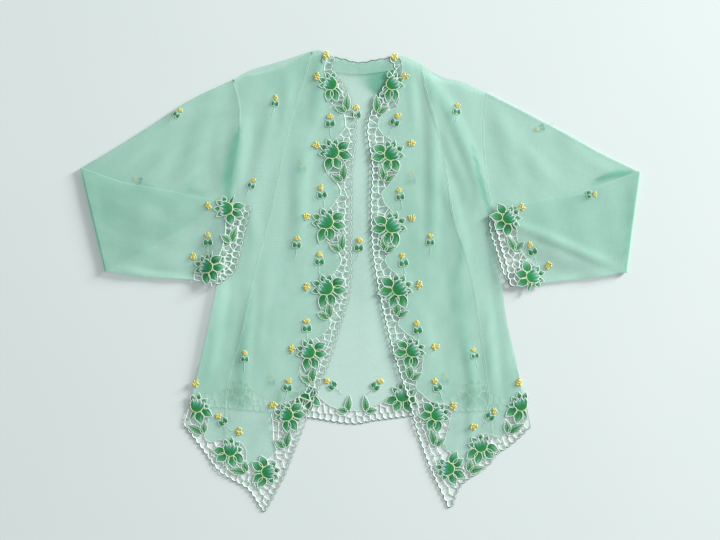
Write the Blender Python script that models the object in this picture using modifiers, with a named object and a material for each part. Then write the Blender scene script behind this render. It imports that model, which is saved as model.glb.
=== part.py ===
"""Kebaya blouse of sheer embroidered voile, laid on its back, sleeves folded in.

Every piece is a wall of cloth on one of four levels. The back lies on the
surface, the fronts and the upper walls of the upper arms lie on it, and the
two walls of each forearm lie on top. Left and right are as seen from above
with the neck toward +Y. Plan points and sizes are in millimetres.
"""

import math
from typing import NamedTuple

import bmesh
import bpy
from mathutils import Vector

MM = 0.001

# Cloth walls and the levels that they lie on
WALL = 1.0
GAP = 0.3
STEP = WALL + GAP
BACK, FRONT, INNER, OUTER = range(4)

# Embroidered borders
BORDER_NARROW = 16.0
BORDER_WIDE = 54.0
BORDER_SHARE = 0.6
MOTIF_PITCH = 100.0
CORNER_START = 0.78
BACK_BORDER = 24.0

# Where an upper layer comes down past the edge of the layers below it
SETTLE_START = 12.0
SETTLE_WIDTH = 30.0

# Grid counts across the pieces
SIDE_COLS = 4
CENTRE_COLS = 4
BORDER_COLS = 3
BACK_COLS = 14
SIDE_ROWS = 12
UPPER_ROWS = 11
FORE_ROWS = 9
CUFF_ROWS = 3
TURN_STEPS = 4

VOILE = (0.42, 0.66, 0.57, 1.0)
CUTWORK = (0.62, 0.78, 0.70, 1.0)


class Station(NamedTuple):
    """One station down a front, and the rows of mesh up to the next one."""

    side: tuple
    seam: tuple
    edge: tuple
    rows: int


class Half(NamedTuple):
    """Guide lines of one half of the blouse."""

    name: str
    stations: list
    armpit: int
    motif_start: float
    shoulder: list
    back_shoulder: list
    hem: list
    hem_corner: tuple
    upper_top: list
    upper_under: list
    fore_top: list
    fore_under: list
    cuff: list


class Fold(NamedTuple):
    """A soft ridge between two points, on one level and all above it."""

    level: int
    start: tuple
    end: tuple
    width: float
    height: float


LEFT = Half(
    name="left",
    stations=[
        Station((-190, 301), (-71, 344), (-38, 335), 1),
        Station((-185, 285), (-76, 327), (-43, 314), 2),
        Station((-180, 259), (-84, 298), (-21, 286), 3),
        Station((-181, 213), (-100, 250), (-7, 228), 3),
        Station((-189, 167), (-112, 201), (-13, 167), 3),
        Station((-196, 121), (-122, 151), (-14, 105), 3),
        Station((-203, 83), (-133, 102), (-14, 44), 3),
        Station((-208, 48), (-145, 56), (-16, -13), 3),
        Station((-211, 12), (-157, 10), (-31, -69), 3),
        Station((-217, -26), (-168, -39), (-50, -127), 3),
        Station((-225, -63), (-179, -89), (-73, -184), 3),
        Station((-233, -101), (-193, -137), (-95, -241), 3),
        Station((-242, -138), (-201, -187), (-117, -297), 3),
        Station((-251, -173), (-196, -234), (-143, -345), 0),
    ],
    armpit=5,
    motif_start=44.0,
    shoulder=[(-190, 301), (-175, 307), (-134, 316), (-104, 325), (-71, 344)],
    back_shoulder=[(-190, 301), (-164, 316), (-134, 325), (-104, 334), (-71, 345)],
    hem=[(-263, -213), (-232, -254), (-212, -281), (-191, -296), (-165, -312), (-143, -345)],
    hem_corner=(-152, -261),
    upper_top=[(-190, 301), (-249, 273), (-304, 237), (-360, 202), (-416, 169)],
    upper_under=[(-196, 121), (-287, 67), (-379, 15)],
    fore_top=[(-416, 169), (-355, 148), (-291, 136), (-228, 123), (-164, 112)],
    fore_under=[(-379, 15), (-338, 7), (-296, 4), (-255, 2), (-214, -5)],
    cuff=[(-164, 112), (-173, 79), (-179, 49), (-190, 15), (-214, -5)],
)

RIGHT = Half(
    name="right",
    stations=[
        Station((191, 282), (92, 325), (46, 334), 1),
        Station((189, 265), (95, 308), (55, 316), 2),
        Station((186, 238), (101, 280), (36, 287), 3),
        Station((187, 191), (115, 233), (14, 233), 3),
        Station((193, 145), (126, 185), (21, 173), 3),
        Station((199, 99), (134, 137), (19, 113), 3),
        Station((203, 64), (142, 89), (21, 52), 3),
        Station((208, 31), (157, 45), (29, -4), 3),
        Station((213, -2), (169, 1), (41, -60), 3),
        Station((217, -37), (177, -47), (56, -118), 3),
        Station((223, -72), (184, -96), (75, -176), 3),
        Station((231, -106), (190, -144), (91, -234), 3),
        Station((239, -141), (195, -193), (112, -290), 3),
        Station((247, -173), (200, -239), (136, -341), 0),
    ],
    armpit=5,
    motif_start=44.0,
    shoulder=[(191, 282), (170, 289), (152, 297), (127, 301), (106, 312), (92, 325)],
    back_shoulder=[(191, 282), (170, 292), (152, 300), (127, 306), (106, 316), (92, 326)],
    hem=[(256, -216), (229, -242), (205, -258), (189, -278), (151, -305), (136, -341)],
    hem_corner=(143, -272),
    upper_top=[(191, 282), (248, 253), (305, 223), (361, 192), (418, 164)],
    upper_under=[(199, 99), (299, 57), (398, 13)],
    fore_top=[(418, 164), (364, 145), (309, 128), (252, 117), (197, 99)],
    fore_under=[(398, 13), (357, 6), (314, 1), (272, -4), (230, -8)],
    cuff=[(197, 99), (198, 72), (208, 42), (218, 10), (230, -8)],
)

NECK = [(-38, 335), (-11, 328), (4, 327), (24, 331), (46, 334)]
NECK_UNDER = [(-43, 314), (2, 312), (55, 316)]
BACK_HEM = [(-257, -185), (-134, -195), (-74, -203), (-11, -212), (31, -206), (136, -195), (250, -194)]

FOLDS = [
    Fold(FRONT, (-178, 262), (-186, 190), 26, 3.0),
    Fold(FRONT, (-86, 200), (-94, 60), 26, 1.8),
    Fold(FRONT, (-172, -30), (-182, -120), 24, 2.0),
    Fold(FRONT, (104, 300), (160, 190), 28, 2.4),
    Fold(FRONT, (104, 215), (108, 90), 24, 1.8),
    Fold(FRONT, (146, 30), (166, -130), 28, 3.0),
    Fold(FRONT, (-215, 268), (-250, 190), 30, 1.6),
    Fold(FRONT, (214, 240), (262, 170), 30, 1.6),
    Fold(OUTER, (-365, 120), (-250, 60), 44, 2.6),
    Fold(OUTER, (-340, 50), (-260, 40), 34, 1.6),
    Fold(OUTER, (360, 110), (270, 50), 44, 2.6),
    Fold(OUTER, (340, 45), (290, 40), 34, 1.6),
]


def spline_point(points, position):
    """Point at a position on the smooth curve through the given points."""
    span = min(int(position), len(points) - 2)
    t = position - span
    p1, p2 = points[span], points[span + 1]
    p0 = points[span - 1] if span > 0 else 2 * p1 - p2
    p3 = points[span + 2] if span + 2 < len(points) else 2 * p2 - p1
    return 0.5 * (2 * p1 + (p2 - p0) * t + (2 * p0 - 5 * p1 + 4 * p2 - p3) * t**2
                  + (3 * p1 - p0 - 3 * p2 + p3) * t**3)


def even_line(points, count, samples=24):
    """Cuts the smooth curve through the points into equal lengths."""
    points = [Vector(p) for p in points]
    fine = [spline_point(points, k / samples) for k in range((len(points) - 1) * samples + 1)]
    reach = [0.0]
    for a, b in zip(fine, fine[1:]):
        reach.append(reach[-1] + (b - a).length)
    line = []
    index = 0
    for k in range(count + 1):
        target = reach[-1] * k / count
        while index < len(fine) - 2 and reach[index + 1] < target:
            index += 1
        share = (target - reach[index]) / (reach[index + 1] - reach[index])
        line.append(fine[index].lerp(fine[index + 1], share))
    return line


def station_line(stations, column):
    """Smooth line down one column of the stations, with their rows of mesh."""
    points = [Vector(getattr(s, column)) for s in stations]
    line = []
    for index, station in enumerate(stations[:-1]):
        line += [spline_point(points, index + k / station.rows) for k in range(station.rows)]
    return line + [points[-1]]


def border_line(half, edge, seam):
    """Scalloped inner line of the front border, widest at each motif."""
    last = len(edge) - 1
    straight = int(last * CORNER_START)
    corner = Vector(half.hem_corner)
    walked = 0.0
    line = []
    for k, (outer, inner) in enumerate(zip(edge, seam)):
        if k > straight:
            line.append(line[straight].lerp(corner, (k - straight) / (last - straight)))
            continue
        if k:
            walked += (outer - edge[k - 1]).length
        phase = (walked - half.motif_start) / MOTIF_PITCH
        swell = 0.5 + 0.5 * math.cos(2 * math.pi * phase)
        width = BORDER_NARROW + (BORDER_WIDE - BORDER_NARROW) * swell
        across = inner - outer
        line.append(outer + across.normalized() * min(width, BORDER_SHARE * across.length))
    return line


def patch(top, bottom, left, right):
    """Fills four guide lines with rows of points, by Coons' rule."""
    rows = len(left) - 1
    cols = len(top) - 1
    grid = []
    for r in range(rows + 1):
        v = r / rows
        line = []
        for c in range(cols + 1):
            u = c / cols
            across = left[r].lerp(right[r], u)
            along = top[c].lerp(bottom[c], v)
            corners = top[0].lerp(top[-1], u).lerp(bottom[0].lerp(bottom[-1], u), v)
            line.append(across + along - corners)
        grid.append(line)
    return grid


def trim(grid, width=GAP / 2):
    """Draws a grid's outline in, which parts it from its neighbours."""
    rows = len(grid) - 1
    cols = len(grid[0]) - 1
    loop = [(0, c) for c in range(cols)] + [(r, cols) for r in range(rows)]
    loop += [(rows, c) for c in range(cols, 0, -1)] + [(r, 0) for r in range(rows, 0, -1)]
    points = [grid[r][c].copy() for r, c in loop]
    ahead = points[1:] + points[:1]
    area = sum(a.cross(b) for a, b in zip(points, ahead))
    turn = math.copysign(1.0, area)
    normals = [Vector((a.y - b.y, b.x - a.x)).normalized() * turn for a, b in zip(points, ahead)]
    for k, (r, c) in enumerate(loop):
        before, after = normals[k - 1], normals[k]
        grid[r][c] = points[k] + (before + after) * width / (1 + before.dot(after))
    return grid


def smooth_step(value):
    """Eases from 0 to 1 as the value does."""
    value = min(max(value, 0.0), 1.0)
    return value * value * (3 - 2 * value)


def beyond(point, start, end, inside):
    """Distance past the line from start to end, away from the inside point."""
    start = Vector(start)
    along = (Vector(end) - start).normalized()
    distance = along.cross(point - start)
    return -distance if along.cross(Vector(inside) - start) > 0 else distance


def line_y(points, x):
    """Where a line that runs from left to right lies in plan, at x."""
    x = min(max(x, points[0][0]), points[-1][0])
    for a, b in zip(points, points[1:]):
        if x <= b[0]:
            return a[1] + (b[1] - a[1]) * (x - a[0]) / (b[0] - a[0])
    return points[-1][1]


def settle(point, level):
    """How far a layer comes down past the edge of the layers below it."""
    if level == FRONT:
        hem_y = line_y(BACK_HEM, point.x)
        return STEP * smooth_step((hem_y - point.y - SETTLE_START) / SETTLE_WIDTH)
    if level < INNER:
        return 0.0
    half = LEFT if point.x < 0 else RIGHT
    pit, elbow = half.upper_under[0], half.upper_under[-1]
    past_arm = beyond(point, pit, elbow, half.upper_top[0])
    past_side = beyond(point, pit, half.cuff[-1], (0, 0))
    free = min(past_arm, past_side) - SETTLE_START
    return 2 * STEP * smooth_step(free / SETTLE_WIDTH)


def fold_lift(point, level):
    """Rise of a layer over the folds at its own level and below it."""
    lift = 0.0
    for fold in FOLDS:
        if fold.level > level:
            continue
        start, end = Vector(fold.start), Vector(fold.end)
        along = end - start
        share = min(max((point - start).dot(along) / along.length_squared, 0.0), 1.0)
        distance = (point - start - along * share).length
        if distance < fold.width:
            lift += fold.height * math.cos(math.pi / 2 * distance / fold.width) ** 2
    return lift


def on_level(point, level):
    """Middle of the wall at a plan point, on a level."""
    height = WALL / 2 + STEP * level - settle(point, level) + fold_lift(point, level)
    return Vector((point.x, point.y, height))


def add_piece(name, mesh_data, color):
    """Makes the object of a piece from its open surface, and thickens it to a wall."""
    points = [v.co.copy() for v in mesh_data.verts]
    centre = sum(points, Vector()) / len(points)
    bmesh.ops.translate(mesh_data, verts=mesh_data.verts, vec=-centre)
    mesh = bpy.data.meshes.new(name)
    mesh_data.to_mesh(mesh)
    mesh_data.free()
    mesh.shade_smooth()
    piece = bpy.data.objects.new(name, mesh)
    piece.location = centre
    wall = piece.modifiers.new("wall", "SOLIDIFY")
    wall.thickness = WALL * MM
    wall.offset = 0.0
    material = bpy.data.materials.new(name)
    material.use_nodes = True
    shader = material.node_tree.nodes["Principled BSDF"]
    shader.inputs["Base Color"].default_value = color
    shader.inputs["Roughness"].default_value = 0.75
    shader.inputs["Metallic"].default_value = 0.0
    mesh.materials.append(material)
    return piece


def sheet(name, grid, level, color):
    """A single wall over a grid of plan points."""
    rows = len(grid) - 1
    cols = len(grid[0]) - 1
    surface = bmesh.new()
    bmesh.ops.create_grid(surface, x_segments=cols, y_segments=rows, size=0.5)
    for vert in surface.verts:
        c = round((vert.co.x + 0.5) * cols)
        r = round((0.5 - vert.co.y) * rows)
        vert.co = on_level(grid[r][c], level) * MM
    return add_piece(name, surface, color)


def rim_steps(line):
    """Steps from both ends of a line out to the middle of the sleeve's rims."""
    top = (line[0] - line[1]).normalized() * STEP / 2
    under = (line[-1] - line[-2]).normalized() * STEP / 2
    return top, under


def ring(line, outer, inner):
    """Closed ring round a flattened sleeve, from its outer wall to its inner one."""
    top, under = rim_steps(line)
    outer_wall = [on_level(p, outer) for p in line]
    inner_wall = [on_level(p, inner) for p in reversed(line)]
    under_rim = outer_wall[-1].lerp(inner_wall[0], 0.5) + under.to_3d()
    top_rim = outer_wall[0].lerp(inner_wall[-1], 0.5) + top.to_3d()
    return outer_wall + [under_rim] + inner_wall + [top_rim]


def turn_rings(line, outward):
    """Rings round the elbow, where the flattened sleeve turns back over itself."""
    axis = WALL / 2 + 1.5 * STEP
    top, under = rim_steps(line)
    rings = []
    for step in range(1, TURN_STEPS):
        angle = math.pi * step / TURN_STEPS
        out = outward * math.sin(angle)
        rise = -math.cos(angle)

        def around(point, radius, out=out, rise=rise):
            plan = point + out * radius
            return Vector((plan.x, plan.y, axis + rise * radius))

        outer_wall = [around(p, 1.5 * STEP) for p in line]
        inner_wall = [around(p, 0.5 * STEP) for p in reversed(line)]
        rings.append(outer_wall + [around(line[-1] + under, STEP)]
                     + inner_wall + [around(line[0] + top, STEP)])
    return rings


def tube(name, rings, color):
    """A wall lofted through closed rings and open at both ends."""
    surface = bmesh.new()
    loops = [[surface.verts.new(p * MM) for p in points] for points in rings]
    for near, far in zip(loops, loops[1:]):
        for k in range(len(near)):
            ahead = (k + 1) % len(near)
            surface.faces.new((near[k], near[ahead], far[ahead], far[k]))
    return add_piece(name, surface, color)


def armhole_line(half):
    """Seam line between body and sleeve, from the shoulder to the armpit."""
    rows = sum(station.rows for station in half.stations[:half.armpit])
    return station_line(half.stations, "side")[:rows + 1]


def front_pieces(half):
    """Side panel, centre panel, front border and hem border of one front."""
    side = station_line(half.stations, "side")
    seam = station_line(half.stations, "seam")
    edge = station_line(half.stations, "edge")
    inner = border_line(half, edge, seam)
    corner = inner[-1]
    shoulder = even_line(half.shoulder, SIDE_COLS)
    neck_side = even_line([seam[0], inner[0]], CENTRE_COLS)
    neck_border = even_line([inner[0], edge[0]], BORDER_COLS)
    side_hem = even_line([side[-1], seam[-1]], SIDE_COLS)
    centre_hem = even_line([seam[-1], corner], CENTRE_COLS)
    mitre = even_line([corner, edge[-1]], BORDER_COLS)
    side_end = even_line([side[-1], half.hem[0]], BORDER_COLS)
    hem_top = side_hem + centre_hem[1:]
    hem = even_line(half.hem, len(hem_top) - 1)
    return [
        sheet(f"front_side_{half.name}", trim(patch(shoulder, side_hem, side, seam)), FRONT, VOILE),
        sheet(f"front_centre_{half.name}", trim(patch(neck_side, centre_hem, seam, inner)), FRONT, VOILE),
        sheet(f"front_border_{half.name}", trim(patch(neck_border, mitre, inner, edge)), FRONT, CUTWORK),
        sheet(f"hem_border_{half.name}", trim(patch(hem_top, hem, side_end, mitre)), FRONT, CUTWORK),
    ]


def sleeve_pieces(half):
    """Folded sleeve and the cutwork border round its cuff."""
    armhole = armhole_line(half)
    cols = len(armhole) - 1
    elbow = even_line([half.upper_top[-1], half.upper_under[-1]], cols)
    upper = trim(patch(armhole, elbow, even_line(half.upper_top, UPPER_ROWS),
                       even_line(half.upper_under, UPPER_ROWS)), GAP)
    fore_rows = FORE_ROWS + CUFF_ROWS
    fore_top = even_line(half.fore_top, fore_rows)
    fore_under = even_line(half.fore_under, fore_rows)
    whole = patch(elbow, even_line(half.cuff, cols), fore_top, fore_under)
    fore = trim([list(row) for row in whole[:FORE_ROWS + 1]])
    cuff = trim([list(row) for row in whole[FORE_ROWS:]])
    along = elbow[-1] - elbow[0]
    outward = Vector((along.y, -along.x)).normalized()
    if outward.dot(armhole[0] - elbow[0]) > 0:
        outward = -outward
    rings = [ring(row, BACK, FRONT) for row in upper]
    rings += turn_rings(upper[-1], outward)
    rings += [ring(row, OUTER, INNER) for row in fore]
    return [
        tube(f"sleeve_{half.name}", rings, VOILE),
        tube(f"cuff_border_{half.name}", [ring(row, OUTER, INNER) for row in cuff], CUTWORK),
    ]


def back_pieces():
    """Back panel, its hem border and the turned band inside the neck."""
    sides = []
    for half in (LEFT, RIGHT):
        armhole = armhole_line(half)
        below = [s.side for s in half.stations[half.armpit:-1]]
        hem_end = Vector(BACK_HEM[0] if half is LEFT else BACK_HEM[-1])
        seam_end = Vector(half.stations[-2].side).lerp(hem_end, 0.5)
        sides.append(armhole + even_line(below + [seam_end], SIDE_ROWS)[1:])
    shoulder_right = [tuple(p) for p in reversed(RIGHT.back_shoulder)]
    top = even_line(LEFT.back_shoulder + [(-54, 345)] + NECK + [(64, 338)] + shoulder_right, BACK_COLS)
    top[0], top[-1] = sides[0][0], sides[1][0]
    hem = even_line(BACK_HEM, BACK_COLS)
    border = [p + Vector((0, BACK_BORDER)) for p in hem]
    border[0], border[-1] = sides[0][-1], sides[1][-1]
    ends = [[border[0], hem[0]], [border[-1], hem[-1]]]
    neck_rows = 1
    neck_cols = 8
    neck = patch(even_line(NECK, neck_cols), even_line(NECK_UNDER, neck_cols),
                 even_line([NECK[0], NECK_UNDER[0]], neck_rows),
                 even_line([NECK[-1], NECK_UNDER[-1]], neck_rows))
    return [
        sheet("back_panel", trim(patch(top, border, *sides)), BACK, VOILE),
        sheet("back_hem_border", trim(patch(border, hem, *ends)), BACK, CUTWORK),
        sheet("neck_band", trim(neck), FRONT, VOILE),
    ]


def centre_on_origin(pieces):
    """Moves all the pieces so that the middle of their box lies over the origin."""
    depsgraph = bpy.context.evaluated_depsgraph_get()
    corners = []
    for piece in pieces:
        solid = piece.evaluated_get(depsgraph)
        corners += [solid.matrix_world @ Vector(c) for c in solid.bound_box]
    for axis in (0, 1):
        values = [c[axis] for c in corners]
        middle = (min(values) + max(values)) / 2
        for piece in pieces:
            piece.location[axis] -= middle


def main():
    """Builds the blouse in a collection of its own."""
    for item in list(bpy.data.objects):
        bpy.data.objects.remove(item, do_unlink=True)
    collection = bpy.data.collections.new("kebaya_blouse")
    bpy.context.scene.collection.children.link(collection)
    root = bpy.data.objects.new("blouse_root", None)
    collection.objects.link(root)
    pieces = back_pieces()
    for half in (LEFT, RIGHT):
        pieces += front_pieces(half) + sleeve_pieces(half)
    for piece in pieces:
        collection.objects.link(piece)
        piece.parent = root
    bpy.context.view_layer.update()
    centre_on_origin(pieces)


main()
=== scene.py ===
"""Looks of a kebaya blouse: sheer voile, cutwork borders and green embroidery.

Plan points and sizes are in millimetres, x across and y toward the neck, and
become metres when a mesh is made. Left and right are as seen from above.
"""

import logging
import math
from dataclasses import dataclass
from enum import Enum, IntEnum
from typing import Sequence

import bpy
import numpy as np
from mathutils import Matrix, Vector
from mathutils.geometry import delaunay_2d_cdt


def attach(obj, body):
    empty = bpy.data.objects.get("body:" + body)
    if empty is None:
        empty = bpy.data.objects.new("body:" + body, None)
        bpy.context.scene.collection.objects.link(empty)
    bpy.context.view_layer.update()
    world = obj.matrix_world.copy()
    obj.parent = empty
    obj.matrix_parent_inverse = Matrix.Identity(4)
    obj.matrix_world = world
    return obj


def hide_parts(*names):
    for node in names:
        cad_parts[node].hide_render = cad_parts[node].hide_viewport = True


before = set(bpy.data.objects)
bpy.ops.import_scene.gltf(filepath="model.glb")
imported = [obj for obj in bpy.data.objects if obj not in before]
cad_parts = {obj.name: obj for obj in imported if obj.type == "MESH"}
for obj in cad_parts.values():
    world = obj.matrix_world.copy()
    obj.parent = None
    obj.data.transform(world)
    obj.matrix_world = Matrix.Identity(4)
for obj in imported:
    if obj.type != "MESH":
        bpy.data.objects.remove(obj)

log = logging.getLogger("blouse")

MM = 0.001
TINY = 1e-9
BODY = "root"
WALL = 1.0
STEP = 1.3  # from one level to the next

Points = np.ndarray


class Level(IntEnum):
    """The levels that cloth lies on, from the floor up."""

    BACK = 0
    FRONT = 1
    INNER = 2
    OUTER = 3


class Slot(Enum):
    """Material slots of the record."""

    BODY = "body_voile"
    SLEEVE = "sleeve_voile"
    BORDER = "cutwork_border"


class Thread(IntEnum):
    """Threads and stitches of the embroidery, in the order of its materials."""

    WHITE = 0
    LIME = 1
    EDGE = 2
    CUP = 3
    LEAF = 4
    BLADE = 5
    BERRY = 6
    SEAM = 7


# Curves in plan

def curve_at(points: Sequence, positions: Points) -> Points:
    """Finds places on the smooth curve through some points.

    Args:
        points: the points that the curve goes through.
        positions: places along it, where 1 is a whole step from point to point.

    Returns:
        One row for each position.
    """
    knots = np.asarray(points, float)
    span = np.clip(positions.astype(int), 0, len(knots) - 2)
    t = (positions - span)[:, None]
    knots = np.vstack([2 * knots[0] - knots[1], knots, 2 * knots[-1] - knots[-2]])
    p0, p1, p2, p3 = (knots[span + k] for k in range(4))
    return 0.5 * (2 * p1 + (p2 - p0) * t + (2 * p0 - 5 * p1 + 4 * p2 - p3) * t**2
                  + (3 * p1 - p0 - 3 * p2 + p3) * t**3)


def reach_of(line: Points) -> Points:
    """Length of a line up to each of its points."""
    return np.concatenate([[0.0], np.cumsum(np.linalg.norm(np.diff(line, axis=0), axis=1))])


def carried(line: Points, values: Points, reach: Points) -> Points:
    """Rows of values that belong to a line's points, at the given lengths along it."""
    lengths = reach_of(line)
    return np.column_stack([np.interp(reach, lengths, values[:, k]) for k in range(values.shape[1])])


def line_at(line: Points, reach: Points) -> Points:
    """Points of a line at the given lengths along it."""
    return carried(line, line, reach)


def even_curve(points: Sequence, count: int) -> Points:
    """Cuts the smooth curve through the points into equal lengths."""
    fine = curve_at(points, np.linspace(0, len(points) - 1, (len(points) - 1) * 24 + 1))
    return line_at(fine, np.linspace(0, reach_of(fine)[-1], count + 1))


def spaced(line: Points, spacing: float) -> Points:
    """A line with points about a spacing apart."""
    total = reach_of(line)[-1]
    return line_at(line, np.linspace(0, total, max(2, round(total / spacing)) + 1))


def unit(vectors: Points) -> Points:
    """A vector, or each row of an array, at a length of 1."""
    return vectors / np.maximum(np.linalg.norm(vectors, axis=-1, keepdims=True), TINY)


def normals_of(line: Points, closed: bool = False) -> Points:
    """Finds which way is left of a line.

    Args:
        line: the line's points in plan.
        closed: True if its end meets its start.

    Returns:
        A unit vector for each point.
    """
    if closed:
        ahead = np.roll(line, -1, axis=0) - np.roll(line, 1, axis=0)
    else:
        ahead = np.gradient(line, axis=0)
    ahead = unit(ahead)
    return np.column_stack([-ahead[:, 1], ahead[:, 0]])


def patch(top: Points, bottom: Points, left: Points, right: Points) -> Points:
    """Fills four guide lines with rows of points, by Coons' rule.

    Args:
        top: line along the first row.
        bottom: line along the last row.
        left: line down the first column.
        right: line down the last column.

    Returns:
        Rows of points, as an array of rows, columns and parts.
    """
    v = np.linspace(0, 1, len(left))[:, None, None]
    u = np.linspace(0, 1, len(top))[None, :, None]
    across = left[:, None] * (1 - u) + right[:, None] * u
    along = top[None] * (1 - v) + bottom[None] * v
    corners = (top[0] * (1 - u) + top[-1] * u) * (1 - v) + (bottom[0] * (1 - u) + bottom[-1] * u) * v
    return across + along - corners


def smooth_step(value: Points) -> Points:
    """Eases from 0 to 1 as the value does."""
    value = np.clip(value, 0.0, 1.0)
    return value * value * (3 - 2 * value)


def nearest_on(line: Points, points: Points) -> tuple[Points, Points, Points]:
    """Measures points against a line.

    Args:
        line: the line's own points.
        points: the points to measure.

    Returns:
        Distance, length along the line, and side (1 on its left, -1 on its right).
    """
    best = np.full(len(points), np.inf)
    reach = np.zeros(len(points))
    side = np.ones(len(points))
    lengths = reach_of(line)
    for k, (a, b) in enumerate(zip(line, line[1:])):
        along = b - a
        total = max(along @ along, 1e-12)
        offset = points - a
        t = np.clip(offset @ along / total, 0, 1)
        distance = np.linalg.norm(offset - t[:, None] * along, axis=1)
        closer = distance < best - TINY
        best = np.where(closer, distance, best)
        reach = np.where(closer, lengths[k] + t * (lengths[k + 1] - lengths[k]), reach)
        left = np.sign(along[0] * offset[:, 1] - along[1] * offset[:, 0])
        side = np.where(closer, left, side)
    return best, reach, side


@dataclass(frozen=True)
class Outline:
    """A closed outline in plan."""

    points: Points

    def contains(self, places: Points) -> Points:
        """Tells which places lie inside the outline.

        Args:
            places: plan points.

        Returns:
            True or False for each of them.
        """
        inside = np.zeros(len(places), bool)
        ends = np.roll(self.points, -1, axis=0)
        for (ax, ay), (bx, by) in zip(self.points, ends):
            if ay == by:
                continue
            crosses = (ay > places[:, 1]) != (by > places[:, 1])
            at = ax + (places[:, 1] - ay) * (bx - ax) / (by - ay)
            inside ^= crosses & (places[:, 0] < at)
        return inside

    def ring(self) -> Points:
        """The outline with its first point again at the end."""
        return np.vstack([self.points, self.points[:1]])


# Guide lines of the blouse

@dataclass(frozen=True)
class HalfPlan:
    """Guide lines of one half of the blouse.

    Attributes:
        name: left or right.
        side: armhole and side seam, from the shoulder down.
        seam: princess seam.
        edge: front edge, from the neck to the point.
        shoulder: front shoulder line, from the armhole to the princess seam.
        back_shoulder: top edge of the back beside it.
        hem: scalloped hem, from the side seam to the point.
        border_end: inner line of the border round the corner, up to the side.
        upper_top: folded top edge of the upper arm.
        upper_under: folded underside of the upper arm.
        fore_top: upper edge of the forearm, from the elbow.
        fore_under: lower edge of the forearm.
        cuff: scalloped edge of the cuff's upper wall.
        cuff_under: scalloped edge of its lower wall.
    """

    name: str
    side: tuple
    seam: tuple
    edge: tuple
    shoulder: tuple
    back_shoulder: tuple
    hem: tuple
    border_end: tuple
    upper_top: tuple
    upper_under: tuple
    fore_top: tuple
    fore_under: tuple
    cuff: tuple
    cuff_under: tuple


ARMPIT = 5
FLOWER_SIZES = (0.98, 1.08, 1.14, 1.14, 1.02, 1.0)
STATION_ROWS = (1, 2) + (3,) * 10
FINER = 4
ARMHOLE_POINTS = sum(STATION_ROWS[:ARMPIT]) * FINER

LEFT = HalfPlan(
    name="left",
    side=((-190, 301), (-185, 285), (-180, 259), (-181, 213), (-189, 167), (-196, 121), (-203, 83),
          (-208, 48), (-211, 12), (-217, -26), (-225, -63), (-233, -101), (-242, -138), (-251, -173)),
    seam=((-71, 344), (-76, 327), (-84, 298), (-100, 250), (-112, 201), (-122, 151), (-133, 102),
          (-145, 56), (-157, 10), (-168, -39), (-179, -89), (-193, -137), (-201, -187), (-199, -238)),
    edge=((-38, 335), (-43, 314), (-21, 286), (-7, 228), (-13, 167), (-14, 105), (-14, 44), (-16, -13),
          (-31, -69), (-50, -127), (-73, -184), (-95, -241), (-117, -297), (-143, -345)),
    shoulder=((-190, 301), (-175, 307), (-134, 316), (-104, 325), (-71, 344)),
    back_shoulder=((-190, 301), (-164, 316), (-134, 325), (-104, 334), (-71, 345)),
    hem=((-263, -213), (-232, -254), (-212, -281), (-191, -296), (-165, -312), (-143, -345)),
    border_end=((-126, -188), (-130, -205), (-130, -224), (-129, -243), (-125, -253), (-130, -260),
                (-139, -266), (-149, -267), (-159, -277), (-165, -275), (-170, -268), (-170, -255),
                (-179, -242), (-199, -240), (-212, -239), (-224, -242), (-233, -234), (-228, -216),
                (-227, -203), (-230, -188), (-238, -179), (-251, -173)),
    upper_top=((-190, 301), (-249, 273), (-304, 237), (-360, 202), (-416, 169)),
    upper_under=((-196, 121), (-287, 67), (-379, 15)),
    fore_top=((-416, 169), (-355, 148), (-291, 136), (-228, 123), (-164, 112)),
    fore_under=((-379, 15), (-338, 7), (-296, 4), (-255, 2), (-214, -5)),
    cuff=((-164, 112), (-173, 79), (-179, 49), (-190, 15), (-214, -5)),
    cuff_under=((-165, 110), (-172, 79), (-180, 49), (-192, 17), (-214, -4)),
)

RIGHT = HalfPlan(
    name="right",
    side=((191, 282), (189, 265), (186, 238), (187, 191), (193, 145), (199, 99), (203, 64), (208, 31),
          (213, -2), (217, -37), (223, -72), (231, -106), (239, -141), (247, -173)),
    seam=((92, 325), (95, 308), (101, 280), (115, 233), (126, 185), (134, 137), (142, 89), (157, 45),
          (169, 1), (177, -47), (184, -96), (190, -144), (195, -193), (200, -232)),
    edge=((46, 334), (55, 316), (36, 287), (14, 233), (21, 173), (19, 113), (21, 52), (29, -4),
          (41, -60), (56, -118), (75, -176), (91, -234), (112, -290), (136, -341)),
    shoulder=((191, 282), (170, 289), (152, 297), (127, 301), (106, 312), (92, 325)),
    back_shoulder=((191, 282), (170, 292), (152, 300), (127, 306), (106, 316), (92, 326)),
    hem=((256, -216), (229, -242), (205, -258), (189, -278), (151, -305), (136, -341)),
    border_end=((120, -185), (137, -189), (136, -206), (132, -224), (127, -239), (126, -249), (136, -258),
                (144, -262), (153, -275), (162, -273), (167, -268), (171, -258), (167, -250), (172, -237),
                (180, -229), (197, -231), (211, -235), (217, -229), (216, -218), (218, -208), (228, -199),
                (230, -185), (236, -177), (247, -173)),
    upper_top=((191, 282), (248, 253), (305, 223), (361, 192), (418, 164)),
    upper_under=((199, 99), (299, 57), (398, 13)),
    fore_top=((418, 164), (364, 145), (309, 128), (252, 117), (197, 99)),
    fore_under=((398, 13), (357, 6), (314, 1), (272, -4), (230, -8)),
    cuff=((199, 98), (208, 71), (214, 48), (221, 26), (225, 2), (230, -8)),
    cuff_under=((196, 99), (198, 72), (208, 42), (218, 10), (230, -8)),
)

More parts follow.
